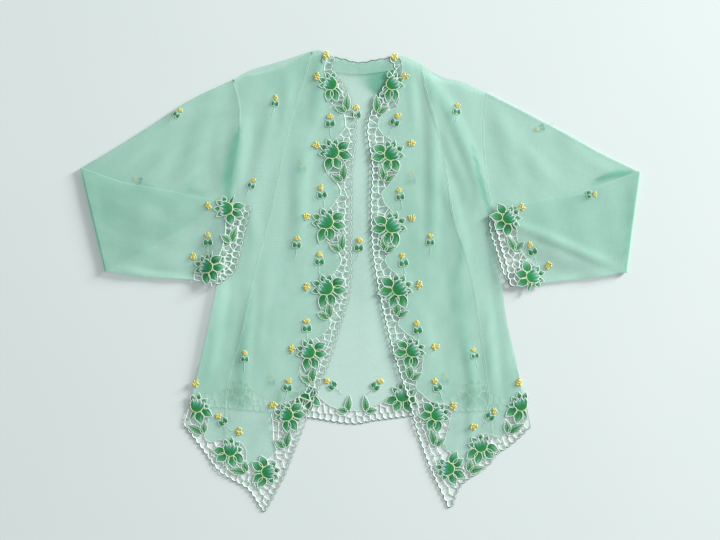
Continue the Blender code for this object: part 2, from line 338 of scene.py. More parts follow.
NECK = ((-38, 335), (-20, 331), (-11, 328), (4, 327), (24, 331), (46, 334))
NECK_UNDER = ((-43, 314), (2, 310), (55, 316))
BACK_HEM = ((-257, -185), (-134, -195), (-74, -203), (-11, -212), (31, -206), (136, -195), (250, -194))


# Where the cloth lies

@dataclass(frozen=True)
class Crease:
    """A soft ridge of one level and all above it, or a trough if it is negative.

    Attributes:
        level: the lowest level that it lifts.
        path: the points that it runs through.
        width: from its middle to where it ends.
        height: at its middle.
        doubled_and_shade: how much the cloth lies double along it, and how much painted shade darkens it there, from
            0 to 1.
    """

    level: Level
    path: tuple
    width: float
    height: float
    doubled_and_shade: float = 0.0

    def line(self) -> Points:
        """Close points along its path."""
        return curve_at(self.path, np.linspace(0, len(self.path) - 1, 13))


# A crease's last number marks cloth lying double along it, partly as painted shade in the crease.
CREASES = (
    Crease(Level.FRONT, ((-176, 250), (-181, 214), (-186, 190), (-193, 140)), 24, 2.6),
    Crease(Level.FRONT, ((-180, 232), (-187, 194), (-196, 158), (-198, 114)), 19.0, -0.6, 0.92),
    Crease(Level.FRONT, ((-264, 142), (-247, 134), (-231, 130)), 8, -0.3, 0.55),
    Crease(Level.FRONT, ((-80, 214), (-90, 150), (-92, 90), (-96, 40)), 20, 1.9, 0.30),
    Crease(Level.FRONT, ((-63, 330), (-62, 280), (-70, 230)), 15, 1.0, 0.22),
    Crease(Level.FRONT, ((-106, 326), (-112, 250), (-134, 160)), 15, 0.9),
    Crease(Level.FRONT, ((-140, 300), (-138, 230), (-160, 120)), 19, 1.1),
    Crease(Level.FRONT, ((-166, 130), (-158, 60), (-170, 0)), 17, 1.1, 0.12),
    Crease(Level.FRONT, ((-164, -14), (-171, -89), (-180, -175)), 17, 2.0, 0.34),
    Crease(Level.FRONT, ((-206, -20), (-214, -90), (-230, -160)), 13, 1.1),
    Crease(Level.FRONT, ((-110, -10), (-126, -90), (-140, -170)), 22, 0.9),
    Crease(Level.FRONT, ((-140, 20), (-146, -60), (-156, -150)), 14, 0.7),
    Crease(Level.FRONT, ((88, 316), (128, 262), (172, 166), (188, 112)), 20, 2.2, 0.32),
    Crease(Level.FRONT, ((170, 200), (181, 152), (190, 120), (197, 92)), 8, -0.4, 1.0),
    Crease(Level.FRONT, ((104, 300), (109, 220), (110, 90), (112, 40)), 15, 1.8, 0.24),
    Crease(Level.FRONT, ((108, 270), (136, 200), (164, 126)), 13, 1.3, 0.10),
    Crease(Level.FRONT, ((124, 160), (146, 90), (160, 30)), 15, 1.2),
    Crease(Level.FRONT, ((68, 330), (78, 286), (80, 230)), 13, 1.1, 0.28),
    Crease(Level.FRONT, ((152, 62), (148, -30), (164, -120), (172, -168)), 21, 0.9, 0.40),
    Crease(Level.FRONT, ((161, -158), (166, -215), (164, -268)), 9, 0.8, 0.28),
    Crease(Level.FRONT, ((176, -212), (170, -160), (160, -90)), 12, 1.2, 0.15),
    Crease(Level.FRONT, ((190, -30), (197, -110), (204, -180)), 14, 1.1, 0.10),
    Crease(Level.FRONT, ((210, -60), (222, -130), (226, -180)), 13, 0.9),
    Crease(Level.FRONT, ((92, -20), (104, -100), (124, -160)), 18, 0.8),
    Crease(Level.FRONT, ((-222, 272), (-244, 200), (-268, 140)), 26, 1.6, 0.10),
    Crease(Level.FRONT, ((-290, 236), (-342, 186), (-372, 162)), 22, 1.0),
    Crease(Level.FRONT, ((-200, 250), (-212, 190), (-206, 140)), 17, 1.2),
    Crease(Level.FRONT, ((200, 262), (222, 200), (238, 150)), 22, 1.6, 0.10),
    Crease(Level.FRONT, ((216, 236), (262, 176), (300, 140)), 20, 1.4),
    Crease(Level.FRONT, ((300, 214), (352, 176), (392, 158)), 18, 1.0),
    Crease(Level.OUTER, ((-372, 130), (-318, 96), (-250, 60)), 34, 1.3),
    Crease(Level.OUTER, ((-340, 46), (-296, 30), (-240, 24)), 26, 1.2),
    Crease(Level.OUTER, ((-300, 126), (-262, 100), (-220, 92)), 20, 0.9),
    Crease(Level.OUTER, ((-406, 150), (-398, 96), (-384, 30)), 15, 0.7, 0.12),
    Crease(Level.OUTER, ((362, 120), (330, 86), (270, 50)), 34, 1.3, 0.1),
    Crease(Level.OUTER, ((345, 45), (314, 36), (280, 40)), 26, 1.2),
    Crease(Level.OUTER, ((330, 120), (300, 100), (262, 96)), 20, 0.9),
    Crease(Level.OUTER, ((408, 150), (404, 90), (397, 28)), 14, 0.1, 0.5),
    Crease(Level.FRONT, ((350, 148), (376, 158), (414, 163)), 10, 0.4, 1.05),
    Crease(Level.BACK, ((-30, 300), (-8, 160), (6, 20), (20, -160)), 24, 0.7),
    Crease(Level.BACK, ((52, 322), (38, 302), (30, 276)), 52, 0.8, 1.1),
    Crease(Level.FRONT, ((-190, 100), (-208, 48), (-217, -26), (-233, -101), (-250, -170)), 25, 3.6),
    Crease(Level.FRONT, ((200, 90), (208, 31), (217, -37), (231, -106), (246, -168)), 15, 2.2),
    Crease(Level.FRONT, ((-200, 112), (-287, 67), (-379, 15)), 13, 1.6),
    Crease(Level.FRONT, ((202, 96), (299, 57), (398, 13)), 13, 1.6),
    Crease(Level.FRONT, ((-190, 301), (-304, 237), (-412, 170)), 15, 1.8),
    Crease(Level.INNER, ((-372, 17), (-296, 4), (-222, -4)), 12, 2.4),
    Crease(Level.INNER, ((392, 14), (314, 1), (238, -7)), 12, 1.4),
)


def beyond(points: Points, start: Sequence, end: Sequence, inside: Sequence) -> Points:
    """Measures how far points lie past a straight line.

    Args:
        points: plan points.
        start: a point on the line.
        end: another point on it.
        inside: a point on the side that isn't past it.

    Returns:
        One distance for each point, negative on the inside.
    """
    start = np.asarray(start, float)
    along = unit(np.asarray(end, float) - start)
    offset = points - start
    distance = along[0] * offset[:, 1] - along[1] * offset[:, 0]
    inner = np.asarray(inside, float) - start
    turn = along[0] * inner[1] - along[1] * inner[0]
    return -distance if turn > 0 else distance


@dataclass(frozen=True)
class Form:
    """Height of the cloth over the floor, at any plan point of a level.

    Attributes:
        creases: the ridges and troughs that are given.
        settle_start: how far past the edge below it a layer starts to come down.
        settle_width: how far it takes to come down.
        ripple: mean height of the unevenness that all laid cloth has.
        back_share: share of that unevenness that the back has.
        strength: share of the creases' own heights.
        softness: share of the width of a crease's marked band over which the mark fades.
    """

    creases: tuple = CREASES
    settle_start: float = 12.0
    settle_width: float = 30.0
    ripple: float = 0.40
    back_share: float = 0.3
    strength: float = 0.95
    softness: float = 0.9

    def _settled(self, points: Points, level: Level) -> Points:
        """Finds how far a layer comes down past the edge of the layers below it.

        Args:
            points: plan points.
            level: the level that they are on.

        Returns:
            One drop for each point.
        """
        if level == Level.FRONT:
            hem = np.asarray(BACK_HEM, float)
            hem_y = np.interp(points[:, 0], hem[:, 0], hem[:, 1])
            return STEP * smooth_step((hem_y - points[:, 1] - self.settle_start) / self.settle_width)
        drop = np.zeros(len(points))
        if level < Level.INNER:
            return drop
        for half, mask in ((LEFT, points[:, 0] < 0), (RIGHT, points[:, 0] >= 0)):
            pit, elbow = half.upper_under[0], half.upper_under[-1]
            past_arm = beyond(points, pit, elbow, half.upper_top[0])
            past_side = beyond(points, pit, half.cuff_under[-1], (0, 0))
            free = np.minimum(past_arm, past_side) - self.settle_start
            drop = np.where(mask, 2 * STEP * smooth_step(free / self.settle_width), drop)
        return drop

    def _rippled(self, points: Points) -> Points:
        """Slight unevenness that all laid cloth has."""
        x, y = points[:, 0], points[:, 1]
        lean = x + 0.22 * y * np.sign(x)
        wave = np.sin(lean / 7.9 + 1.3 * np.sin(y / 61)) + 0.8 * np.sin(lean / 14.3 - y / 83 + 2.0)
        wave += 0.6 * np.sin(y / 23.0 + 1.8 * np.sin(x / 47))
        return self.ripple * (1 + wave / 2.4)

    def height(self, points: Points, level: Level) -> Points:
        """Height of the cloth in millimetres.

        Args:
            points: plan points.
            level: the level that they are on.

        Returns:
            One height for each point.
        """
        share = self.back_share if level == Level.BACK else 1.0
        lift = WALL / 2 + STEP * level - self._settled(points, level) + share * self._rippled(points)
        for crease in self.creases:
            if crease.level > level:
                continue
            line = crease.line()
            distance, reach, _ = nearest_on(line, points)
            along = np.sin(np.pi * np.clip(reach / reach_of(line)[-1], 0.04, 0.96)) ** 0.6
            near = np.clip(distance / crease.width, 0, 1)
            lift += self.strength * crease.height * along * np.cos(np.pi / 2 * near) ** 2
        return lift

    def doubling_and_shade(self, points: Points, level: Level) -> Points:
        """Finds how much the cloth lies double, with random unevenness and painted shade added.

        Args:
            points: plan points.
            level: the level that they are on.

        Returns:
            A value for each point, about 0 where it is single and 1 where it is double; part of it is painted shade.
        """
        x, y = points[:, 0], points[:, 1]
        loose = 0.10 * np.sin(x / 71 + y / 130) + 0.08 * np.sin(y / 57 - x / 94 + 1.1)
        # Besides random unevenness, loose holds painted shade on the levels above the back: it falls from left to
        # right, so the cloth is darker on the left, away from the key light.
        loose -= 0.06 + 0.0002 * x if level else 0.1
        total = np.zeros(len(points))
        for crease in self.creases:
            if crease.level != level or not crease.doubled_and_shade:
                continue
            line = crease.line()
            distance, reach, _ = nearest_on(line, points)
            share = reach / reach_of(line)[-1]
            width = crease.width * np.sin(np.pi * np.clip(share, 0.02, 0.98)) ** 0.7
            past = distance / np.maximum(width, 0.5) - (1 - self.softness)
            fall = 1 - smooth_step(past / self.softness)
            # A crease's mark stands partly for cloth lying double and partly for painted shade along the crease.
            total = np.maximum(total, crease.doubled_and_shade * fall)
        return total + loose * (1 - np.clip(total, 0, 1))


# Meshes

def make_mesh(name: str, points: Points, faces: Points, uv: Points, marks: Points,
              kinds: Points | None = None) -> bpy.types.Object:
    """Makes a smooth mesh object from arrays.

    Args:
        name: name of the piece.
        points: vertices in millimetres.
        faces: corners of each face, all of one count.
        uv: one place on the cloth for each vertex, in metres.
        marks: a value of each vertex, kept as the attribute "mark".
        kinds: material index of each face.

    Returns:
        The new object, at the origin.
    """
    mesh = bpy.data.meshes.new(name)
    corners = faces.ravel().astype(np.int32)
    mesh.vertices.add(len(points))
    mesh.vertices.foreach_set("co", (points * MM).astype(np.float32).ravel())
    mesh.loops.add(len(corners))
    mesh.loops.foreach_set("vertex_index", corners)
    mesh.polygons.add(len(faces))
    mesh.polygons.foreach_set("loop_start", np.arange(0, len(corners), faces.shape[1], dtype=np.int32))
    if kinds is not None:
        mesh.polygons.foreach_set("material_index", kinds.astype(np.int32))
    layer = mesh.uv_layers.new(name="cloth")
    layer.data.foreach_set("uv", uv[corners].astype(np.float32).ravel())
    mark = mesh.attributes.new("mark", "FLOAT", "POINT")
    mark.data.foreach_set("value", marks.astype(np.float32))
    mesh.update(calc_edges=True)
    mesh.validate()
    mesh.shade_smooth()
    piece = bpy.data.objects.new(name, mesh)
    bpy.context.scene.collection.objects.link(piece)
    return piece


def grid_faces(rows: int, cols: int) -> Points:
    """Quads of a grid with that many rows and columns of faces."""
    r, c = np.meshgrid(np.arange(rows), np.arange(cols), indexing="ij")
    first = (r * (cols + 1) + c).ravel()
    return np.column_stack([first, first + cols + 1, first + cols + 2, first + 1])


def lay_cloth(name: str, outline: Outline, level: Level, form: Form, spacing: float) -> bpy.types.Object:
    """Lays a panel of cloth with a given outline on its level.

    Args:
        name: name of the piece.
        outline: its outline in plan.
        level: the level that it lies on.
        form: the heights of the cloth.
        spacing: distance between the points inside it.

    Returns:
        The panel.
    """
    rim = outline.points
    low, high = rim.min(0), rim.max(0)
    across = np.arange(low[0], high[0], spacing)
    up = np.arange(low[1], high[1], spacing)
    x, y = np.meshgrid(across, up)
    x[1::2] += spacing / 2
    inside = np.column_stack([x.ravel(), y.ravel()])
    inside = inside[outline.contains(inside)]
    away, _, _ = nearest_on(outline.ring(), inside)
    inside = inside[away > 0.45 * spacing]
    places = [Vector(p) for p in np.vstack([rim, inside])]
    sides = [(k, (k + 1) % len(rim)) for k in range(len(rim))]
    found = delaunay_2d_cdt(places, sides, [], 1, 1e-5)
    plan = np.array([v[:] for v in found[0]])
    corners = np.array([f for f in found[2] if len(f) == 3])
    a, b, c = (plan[corners[:, k]] for k in range(3))
    turned = (b[:, 0] - a[:, 0]) * (c[:, 1] - a[:, 1]) - (b[:, 1] - a[:, 1]) * (c[:, 0] - a[:, 0]) < 0
    corners[turned] = corners[turned][:, ::-1]
    points = np.column_stack([plan, form.height(plan, level)])
    return make_mesh(name, points, corners, plan * MM, form.doubling_and_shade(plan, level))


def roll_cloth(name: str, rings: Points, marks: Points) -> bpy.types.Object:
    """Makes a sheet of cloth from rows of points, such as a sleeve whose seam meets itself.

    Args:
        name: name of the piece.
        rings: its points, as an array of rows, columns and parts.
        marks: how much the cloth lies double at each of them, partly painted shade.

    Returns:
        The sheet.
    """
    rows, cols = rings.shape[:2]
    steps = np.linalg.norm(np.diff(rings, axis=1), axis=2).mean(0)
    rises = np.linalg.norm(np.diff(rings, axis=0), axis=2).mean(1)
    u = np.concatenate([[0], np.cumsum(steps)])
    v = np.concatenate([[0], np.cumsum(rises)])
    uv = np.stack(np.broadcast_arrays(u[None, :], v[:, None]), axis=2).reshape(-1, 2) * MM
    return make_mesh(name, rings.reshape(-1, 3), grid_faces(rows - 1, cols - 1), uv, marks.ravel())


class Stitchery:
    """Gathers the stitched shapes of one piece, and makes one mesh of them."""

    def __init__(self, form: Form) -> None:
        """Starts with nothing stitched."""
        self.form = form
        self.points: list[Points] = []
        self.levels: list[Points] = []
        self.uv: list[Points] = []
        self.marks: list[Points] = []
        self.quads: list[Points] = []
        self.kinds: list[Points] = []
        self.count = 0

    def add(self, points: Points, faces: Points, uv: Points, kind: Thread, level: Level,
            mark: float = 0.5) -> None:
        """Adds a shape whose heights are over the cloth that it is stitched on.

        Args:
            points: its vertices.
            faces: its quads.
            uv: one place for each vertex.
            kind: the thread that it is worked in.
            level: the level of the cloth under it.
            mark: its shade, from 0 to 1.
        """
        self.points.append(points)
        self.levels.append(np.full(len(points), int(level)))
        self.uv.append(uv)
        self.marks.append(np.full(len(points), mark))
        self.quads.append(faces + self.count)
        self.kinds.append(np.full(len(faces), int(kind)))
        self.count += len(points)

    def cord(self, path: Points, radius: float, kind: Thread, level: Level, lift: float = 0.3,
             closed: bool = False) -> None:
        """Lays a rounded cord of satin stitch along a path.

        Args:
            path: its middle line in plan.
            radius: half its width.
            kind: its thread.
            level: the level of the cloth under it.
            lift: height of its foot over the cloth.
            closed: True if its end meets its start.
        """
        count = len(path)
        normal = normals_of(path, closed)
        angles = np.radians([0, 50, 90, 130, 180, 270])
        wide = np.cos(angles) * radius
        tall = np.sin(angles) * radius * np.where(np.sin(angles) < 0, 0.25, 0.85)
        taper = np.ones(count)
        if not closed:
            taper[0] = taper[-1] = 0.35
        plan = path[:, None, :] + normal[:, None, :] * (wide[None, :] * taper[:, None])[:, :, None]
        rise = lift + tall[None, :] * taper[:, None]
        points = np.concatenate([plan, rise[:, :, None]], axis=2).reshape(-1, 3)
        sides = len(angles)
        segs = count if closed else count - 1
        k, j = np.meshgrid(np.arange(segs), np.arange(sides), indexing="ij")
        k, j = k.ravel(), j.ravel()
        far, beside = (k + 1) % count, (j + 1) % sides
        faces = np.column_stack([k * sides + j, k * sides + beside, far * sides + beside, far * sides + j])
        along = reach_of(path)
        uv = np.column_stack([np.repeat(along, sides) * MM, np.tile(np.arange(sides) / sides, count)])
        self.add(points, faces, uv, kind, level)

    def build(self, name: str, finishes: Sequence[bpy.types.Material]) -> bpy.types.Object:
        """Makes the mesh, with its heights over the floor.

        Args:
            name: name of the piece.
            finishes: the materials of all the threads, in their order.

        Returns:
            The piece, with the materials that it uses.
        """
        points = np.concatenate(self.points)
        levels = np.concatenate(self.levels)
        for level in Level:
            on = levels == int(level)
            if on.any():
                points[on, 2] += self.form.height(points[on, :2], level)
        kinds = np.concatenate(self.kinds)
        used = sorted(set(kinds.tolist()))
        slots = np.searchsorted(used, kinds)
        piece = make_mesh(name, points, np.concatenate(self.quads), np.concatenate(self.uv),
                          np.concatenate(self.marks), slots)
        for kind in used:
            piece.data.materials.append(finishes[kind])
        return piece


# Finishes

def linear(red: int, green: int, blue: int) -> tuple[float, float, float, float]:
    """Turns a screen colour of 0 to 255 into the renderer's own."""
    parts = []
    for value in (red, green, blue):
        share = value / 255
        parts.append(share / 12.92 if share <= 0.04045 else ((share + 0.055) / 1.055) ** 2.4)
    return (*parts, 1.0)


def shades(*stops: tuple[float, int, int, int]) -> tuple:
    """Stops of a ramp, each a place and a colour, from places and screen colours."""
    return tuple((place, linear(*color)) for place, *color in stops)


class Bench:
    """Adds and links the nodes of one node tree."""

    def __init__(self, tree: bpy.types.NodeTree) -> None:
        """Works on a tree."""
        self.tree = tree

    def node(self, kind: str, **values: object) -> bpy.types.Node:
        """Adds a node and sets its properties."""
        made = self.tree.nodes.new(kind)
        for key, value in values.items():
            setattr(made, key, value)
        return made

    def feed(self, socket: bpy.types.NodeSocket, value: object) -> None:
        """Links a socket to another, or sets its value."""
        if isinstance(value, bpy.types.NodeSocket):
            self.tree.links.new(value, socket)
        else:
            socket.default_value = value

    def math(self, kind: str, first: object, second: object = 0.0, clamp: bool = False) -> bpy.types.NodeSocket:
        """Result of a sum of two values."""
        made = self.node("ShaderNodeMath", operation=kind, use_clamp=clamp)
        self.feed(made.inputs[0], first)
        self.feed(made.inputs[1], second)
        return made.outputs[0]

    def scaled(self, vector: object, x: float, y: float) -> bpy.types.NodeSocket:
        """A vector scaled along x and y."""
        made = self.node("ShaderNodeMapping")
        self.feed(made.inputs["Vector"], vector)
        made.inputs["Scale"].default_value = (x, y, 1.0)
        return made.outputs["Vector"]

    def noise(self, vector: object, scale: float, detail: float = 2.0) -> bpy.types.NodeSocket:
        """Soft noise from 0 to 1."""
        made = self.node("ShaderNodeTexNoise")
        self.feed(made.inputs["Vector"], vector)
        made.inputs["Scale"].default_value = scale
        made.inputs["Detail"].default_value = detail
        return made.outputs["Fac"]

    def mix(self, share: object, first: object, second: object) -> bpy.types.NodeSocket:
        """Blend of two colours."""
        made = self.node("ShaderNodeMix", data_type="RGBA", clamp_factor=True)
        self.feed(made.inputs["Factor"], share)
        self.feed(made.inputs[6], first)
        self.feed(made.inputs[7], second)
        return made.outputs[2]

    def ramp(self, share: object, stops: Sequence[tuple[float, tuple]]) -> bpy.types.NodeSocket:
        """Colours along a ramp."""
        made = self.node("ShaderNodeValToRGB")
        self.feed(made.inputs["Fac"], share)
        ramp = made.color_ramp
        while len(ramp.elements) < len(stops):
            ramp.elements.new(1.0)
        for element, (place, color) in zip(ramp.elements, stops):
            element.position = place
            element.color = color
        return made.outputs["Color"]

    def split(self, vector: object) -> tuple[bpy.types.NodeSocket, bpy.types.NodeSocket]:
        """First and second parts of a vector."""
        made = self.node("ShaderNodeSeparateXYZ")
        self.feed(made.inputs[0], vector)
        return made.outputs[0], made.outputs[1]

    def cloth(self) -> bpy.types.NodeSocket:
        """Place on the piece's own cloth map."""
        return self.node("ShaderNodeUVMap", uv_map="cloth").outputs["UV"]

    def mark(self) -> bpy.types.NodeSocket:
        """The value that the piece keeps at each vertex."""
        return self.node("ShaderNodeAttribute", attribute_name="mark").outputs["Fac"]

    def bump(self, height: object, strength: float, distance: float) -> bpy.types.NodeSocket:
        """Normal of a surface with small heights."""
        made = self.node("ShaderNodeBump")
        made.inputs["Strength"].default_value = strength
        made.inputs["Distance"].default_value = distance
        self.feed(made.inputs["Height"], height)
        return made.outputs["Normal"]


def new_group(name: str, takes: Sequence[tuple[str, str]],
              gives: Sequence[str]) -> tuple[Bench, bpy.types.Node, bpy.types.Node]:
    """Starts a shader node group.

    Args:
        name: its name.
        takes: name and kind of each input.
        gives: name of each output, which is a number.

    Returns:
        Its bench, and the nodes of its inputs and its outputs.
    """
    tree = bpy.data.node_groups.new(name, "ShaderNodeTree")
    for label, kind in takes:
        tree.interface.new_socket(name=label, in_out="INPUT", socket_type=kind)
    for label in gives:
        tree.interface.new_socket(name=label, in_out="OUTPUT", socket_type="NodeSocketFloat")
    bench = Bench(tree)
    return bench, bench.node("NodeGroupInput"), bench.node("NodeGroupOutput")


def voile_weave() -> bpy.types.NodeTree:
    """Node group of a plain weave: its threads, and the slubs that run along them."""
    takes = (("Cloth", "NodeSocketVector"), ("Threads", "NodeSocketFloat"))
    bench, given, out = new_group("voile weave", takes, ("Height", "Tone", "Cover"))
    x, y = bench.split(given.outputs["Cloth"])
    turns = bench.math("MULTIPLY", given.outputs["Threads"], 2 * math.pi)
    warp = bench.math("SINE", bench.math("MULTIPLY", x, turns))
    weft = bench.math("SINE", bench.math("MULTIPLY", y, turns))
    slub_x, slub_y, cloud = (bench.noise(bench.scaled(given.outputs["Cloth"], *scale), 1.0, 3.0)
                             for scale in ((900, 34), (30, 820), (42, 20)))
    slubs = bench.math("MULTIPLY", bench.math("ADD", slub_x, slub_y), 0.5)
    over = bench.math("MAXIMUM", warp, weft)
    bench.feed(out.inputs["Height"], bench.math("ADD", over, bench.math("MULTIPLY", slubs, 3.0)))
    tone = bench.math("ADD", bench.math("MULTIPLY", slubs, 0.55), bench.math("MULTIPLY", cloud, 0.45))
    bench.feed(out.inputs["Tone"], tone)
    crossing = bench.math("MULTIPLY", bench.math("MULTIPLY", warp, weft), 0.12)
    bench.feed(out.inputs["Cover"], bench.math("ADD", slubs, crossing))
    return bench.tree


def satin_stitches() -> bpy.types.NodeTree:
    """Node group of threads laid side by side across a cord or petal."""
    takes = (("Cloth", "NodeSocketVector"), ("Stitches", "NodeSocketFloat"), ("Grain", "NodeSocketFloat"))
    bench, given, out = new_group("satin stitches", takes, ("Height", "Tone"))
    x, y = bench.split(given.outputs["Cloth"])
    across = bench.math("MULTIPLY", x, given.outputs["Stitches"])
    slant = bench.math("ADD", across, bench.math("MULTIPLY", y, given.outputs["Grain"]))
    rows = bench.math("ABSOLUTE", bench.math("SINE", bench.math("MULTIPLY", slant, math.pi)))
    combine = bench.node("ShaderNodeCombineXYZ")
    bench.feed(combine.inputs[0], bench.math("MULTIPLY", slant, 0.37))
    bench.feed(combine.inputs[1], bench.math("MULTIPLY", y, 0.8))
    bench.feed(out.inputs["Height"], rows)
    bench.feed(out.inputs["Tone"], bench.noise(combine.outputs[0], 1.0, 2.0))
    return bench.tree


def place_group(bench: Bench, tree: bpy.types.NodeTree, **values: object) -> bpy.types.Node:
    """Places a node group with its values."""
    made = bench.node("ShaderNodeGroup", node_tree=tree)
    for label, value in values.items():
        bench.feed(made.inputs[label], value)
    return made


def new_material(name: str) -> tuple[bpy.types.Material, Bench, bpy.types.Node]:
    """Starts a material, with its bench and its shader."""
    material = bpy.data.materials.new(name)
    material.use_nodes = True
    return material, Bench(material.node_tree), material.node_tree.nodes["Principled BSDF"]


def finish_surface(shader: bpy.types.Node, roughness: float, specular: float, sheen: float = 0.0,
                   sheen_roughness: float = 0.5) -> None:
    """Sets what is the same all over a surface, on the shader's own sockets.

    Args:
        shader: the material's shader.
        roughness: how matt it is.
        specular: how strong its gloss is.
        sheen: how strong the light on its fibres is.
        sheen_roughness: how wide that light is.
    """
    shader.inputs["Roughness"].default_value = roughness
    shader.inputs["Specular IOR Level"].default_value = specular
    shader.inputs["Sheen Weight"].default_value = sheen
    shader.inputs["Sheen Roughness"].default_value = sheen_roughness


@dataclass(frozen=True)
class VoileFinish:
    """Sheer plain-woven cotton, dyed mint.

    Attributes:
        name: name of the material.
        thin: colour of a single cloth.
        deep: colour where it lies double, and where painted shade is marked.
        cover: share of the light that a single cloth stops.
        doubled_cover: share that it stops where it lies double, and where painted shade is marked.
        threads: threads to a metre.
        roughness: how matt it is.
    """

    name: str
    thin: tuple = linear(190, 234, 219)
    deep: tuple = linear(116, 190, 164)
    cover: float = 0.45
    doubled_cover: float = 0.78
    threads: float = 2800.0
    roughness: float = 0.72

    def material(self, weave: bpy.types.NodeTree) -> bpy.types.Material:
        """Builds the material with the weave's node group."""
        material, bench, shader = new_material(self.name)
        group = place_group(bench, weave, Cloth=bench.cloth(), Threads=self.threads)
        mark = bench.mark()
        tone = bench.math("MULTIPLY", bench.math("SUBTRACT", group.outputs["Tone"], 0.42), 1.5)
        # The mark deepens colour and cover where the cloth lies double and where painted shade is marked.
        share = bench.math("ADD", tone, bench.math("MULTIPLY", mark, 0.9), clamp=True)
        bench.feed(shader.inputs["Base Color"], bench.mix(share, self.thin, self.deep))
        loose = bench.math("MULTIPLY", bench.math("SUBTRACT", group.outputs["Cover"], 0.5), 0.35)
        cover = bench.math("ADD", bench.math("MULTIPLY", mark, self.doubled_cover - self.cover), self.cover)
        bench.feed(shader.inputs["Alpha"], bench.math("ADD", cover, loose, clamp=True))
        bench.feed(shader.inputs["Normal"], bench.bump(group.outputs["Height"], 0.12, 0.0001))
        finish_surface(shader, self.roughness, specular=0.25, sheen=0.12, sheen_roughness=0.45)
        return material


@dataclass(frozen=True)
class ThreadFinish:
    """Glossy embroidery thread laid as a cord.

    Attributes:
        name: name of the material.
        light: painted highlight on top of each stitch, also the light end of its random tone.
        dark: painted shade between the stitches, also the dark end of its random tone.
        stitches: stitches to a metre.
        roughness: how matt it is.
    """

    name: str
    light: tuple
    dark: tuple
    stitches: float = 2400.0
    roughness: float = 0.45

    def material(self, satin: bpy.types.NodeTree) -> bpy.types.Material:
        """Builds the material with the stitches' node group."""
        material, bench, shader = new_material(self.name)
        group = place_group(bench, satin, Cloth=bench.cloth(), Stitches=self.stitches, Grain=0.6)
        # Painted shade in the grooves between stitches and painted highlight on their tops, mixed with random tone.
        rows = bench.math("MULTIPLY", group.outputs["Height"], 0.5)
        share = bench.math("ADD", rows, bench.math("MULTIPLY", group.outputs["Tone"], 0.7), clamp=True)
        bench.feed(shader.inputs["Base Color"], bench.mix(share, self.dark, self.light))
        bench.feed(shader.inputs["Normal"], bench.bump(group.outputs["Height"], 0.35, 0.0002))
        finish_surface(shader, self.roughness, specular=0.35, sheen=0.1)
        return material


@dataclass(frozen=True)
class PetalFinish:
    """Satin stitch shaded from base to tip, its rows of thread along the petal.

    Attributes:
        name: name of the material.
        stops: its colours from base to tip.
        other: those that some petals have more of.
        stitches: how close its rows of thread lie.
        rib: half the width of its dark middle line, as a share of its half width.
        roughness: how matt it is.
    """

    name: str
    stops: tuple
    other: tuple
    stitches: float = 14.0
    rib: float = 0.0
    roughness: float = 0.42

    def material(self, satin: bpy.types.NodeTree) -> bpy.types.Material:
        """Builds the material with the stitches' node group."""
        material, bench, shader = new_material(self.name)
        cloth = bench.cloth()
        group = place_group(bench, satin, Cloth=cloth, Stitches=self.stitches, Grain=1.0)
        across, along = bench.split(cloth)
        ragged = bench.math("MULTIPLY", bench.math("SUBTRACT", group.outputs["Tone"], 0.5), 1.15)
        share = bench.math("ADD", along, ragged, clamp=True)
        shaded = bench.ramp(share, self.stops)
        other = bench.ramp(share, self.other)
        color = bench.mix(bench.mark(), shaded, other)
        if self.rib:
            aside = bench.math("MULTIPLY", bench.math("ABSOLUTE", across), 1 / self.rib)
            middle = bench.math("SUBTRACT", 1.0, aside, clamp=True)
            color = bench.mix(bench.math("MULTIPLY", middle, 0.85), color, linear(20, 92, 52))
        # Painted shade between the rows of thread and painted highlight on them.
        light = bench.math("ADD", 0.82, bench.math("MULTIPLY", group.outputs["Height"], 0.25))
        bright = bench.node("ShaderNodeMix", data_type="RGBA", blend_type="MULTIPLY")
        bright.inputs["Factor"].default_value = 1.0
        bench.feed(bright.inputs[6], color)
        bench.feed(bright.inputs[7], light)
        bench.feed(shader.inputs["Base Color"], bright.outputs[2])
        bench.feed(shader.inputs["Normal"], bench.bump(group.outputs["Height"], 0.4, 0.0002))
        finish_surface(shader, self.roughness, specular=0.3, sheen=0.08)
        return material


# Each thread's two colours are a painted highlight and a painted shade of it, also used for random tone.
WHITE_THREAD = ThreadFinish("white satin thread", linear(220, 234, 228), linear(182, 208, 196))
LIME_THREAD = ThreadFinish("lime satin thread", linear(230, 242, 204), linear(200, 222, 166))
EDGE_THREAD = ThreadFinish("green edging thread", linear(96, 132, 114), linear(64, 102, 84), roughness=0.6)
SEAM_THREAD = ThreadFinish("pale seam thread", linear(186, 224, 210), linear(160, 204, 188), roughness=0.65)
BERRY_THREAD = ThreadFinish("yellow knots", linear(222, 213, 116), linear(204, 182, 88), stitches=900.0)
NET_THREAD = ThreadFinish("cutwork bars", linear(212, 230, 222), linear(184, 210, 199), roughness=0.65)
CUP_SILK = PetalFinish(
    "shaded flower silk",
    shades((0.0, 58, 152, 62), (0.28, 34, 126, 64), (0.6, 40, 134, 90), (1.0, 112, 180, 158)),
    shades((0.0, 50, 146, 58), (0.35, 38, 132, 70), (0.68, 62, 150, 112), (1.0, 132, 194, 176)))
LEAF_SILK = PetalFinish(
    "shaded leaf silk",
    shades((0.0, 34, 122, 46), (0.28, 28, 114, 56), (0.58, 66, 152, 102), (1.0, 150, 204, 176)),
    shades((0.0, 54, 144, 54), (0.32, 38, 128, 62), (0.64, 88, 168, 122), (1.0, 160, 210, 186)))
BLADE_SILK = PetalFinish(
    "serrated leaf silk",
    shades((0.0, 44, 132, 58), (0.35, 96, 166, 112), (0.65, 140, 192, 158), (1.0, 180, 214, 194)),
    shades((0.0, 36, 122, 52), (0.35, 80, 156, 98), (0.65, 126, 184, 146), (1.0, 170, 210, 186)),
    rib=0.34)


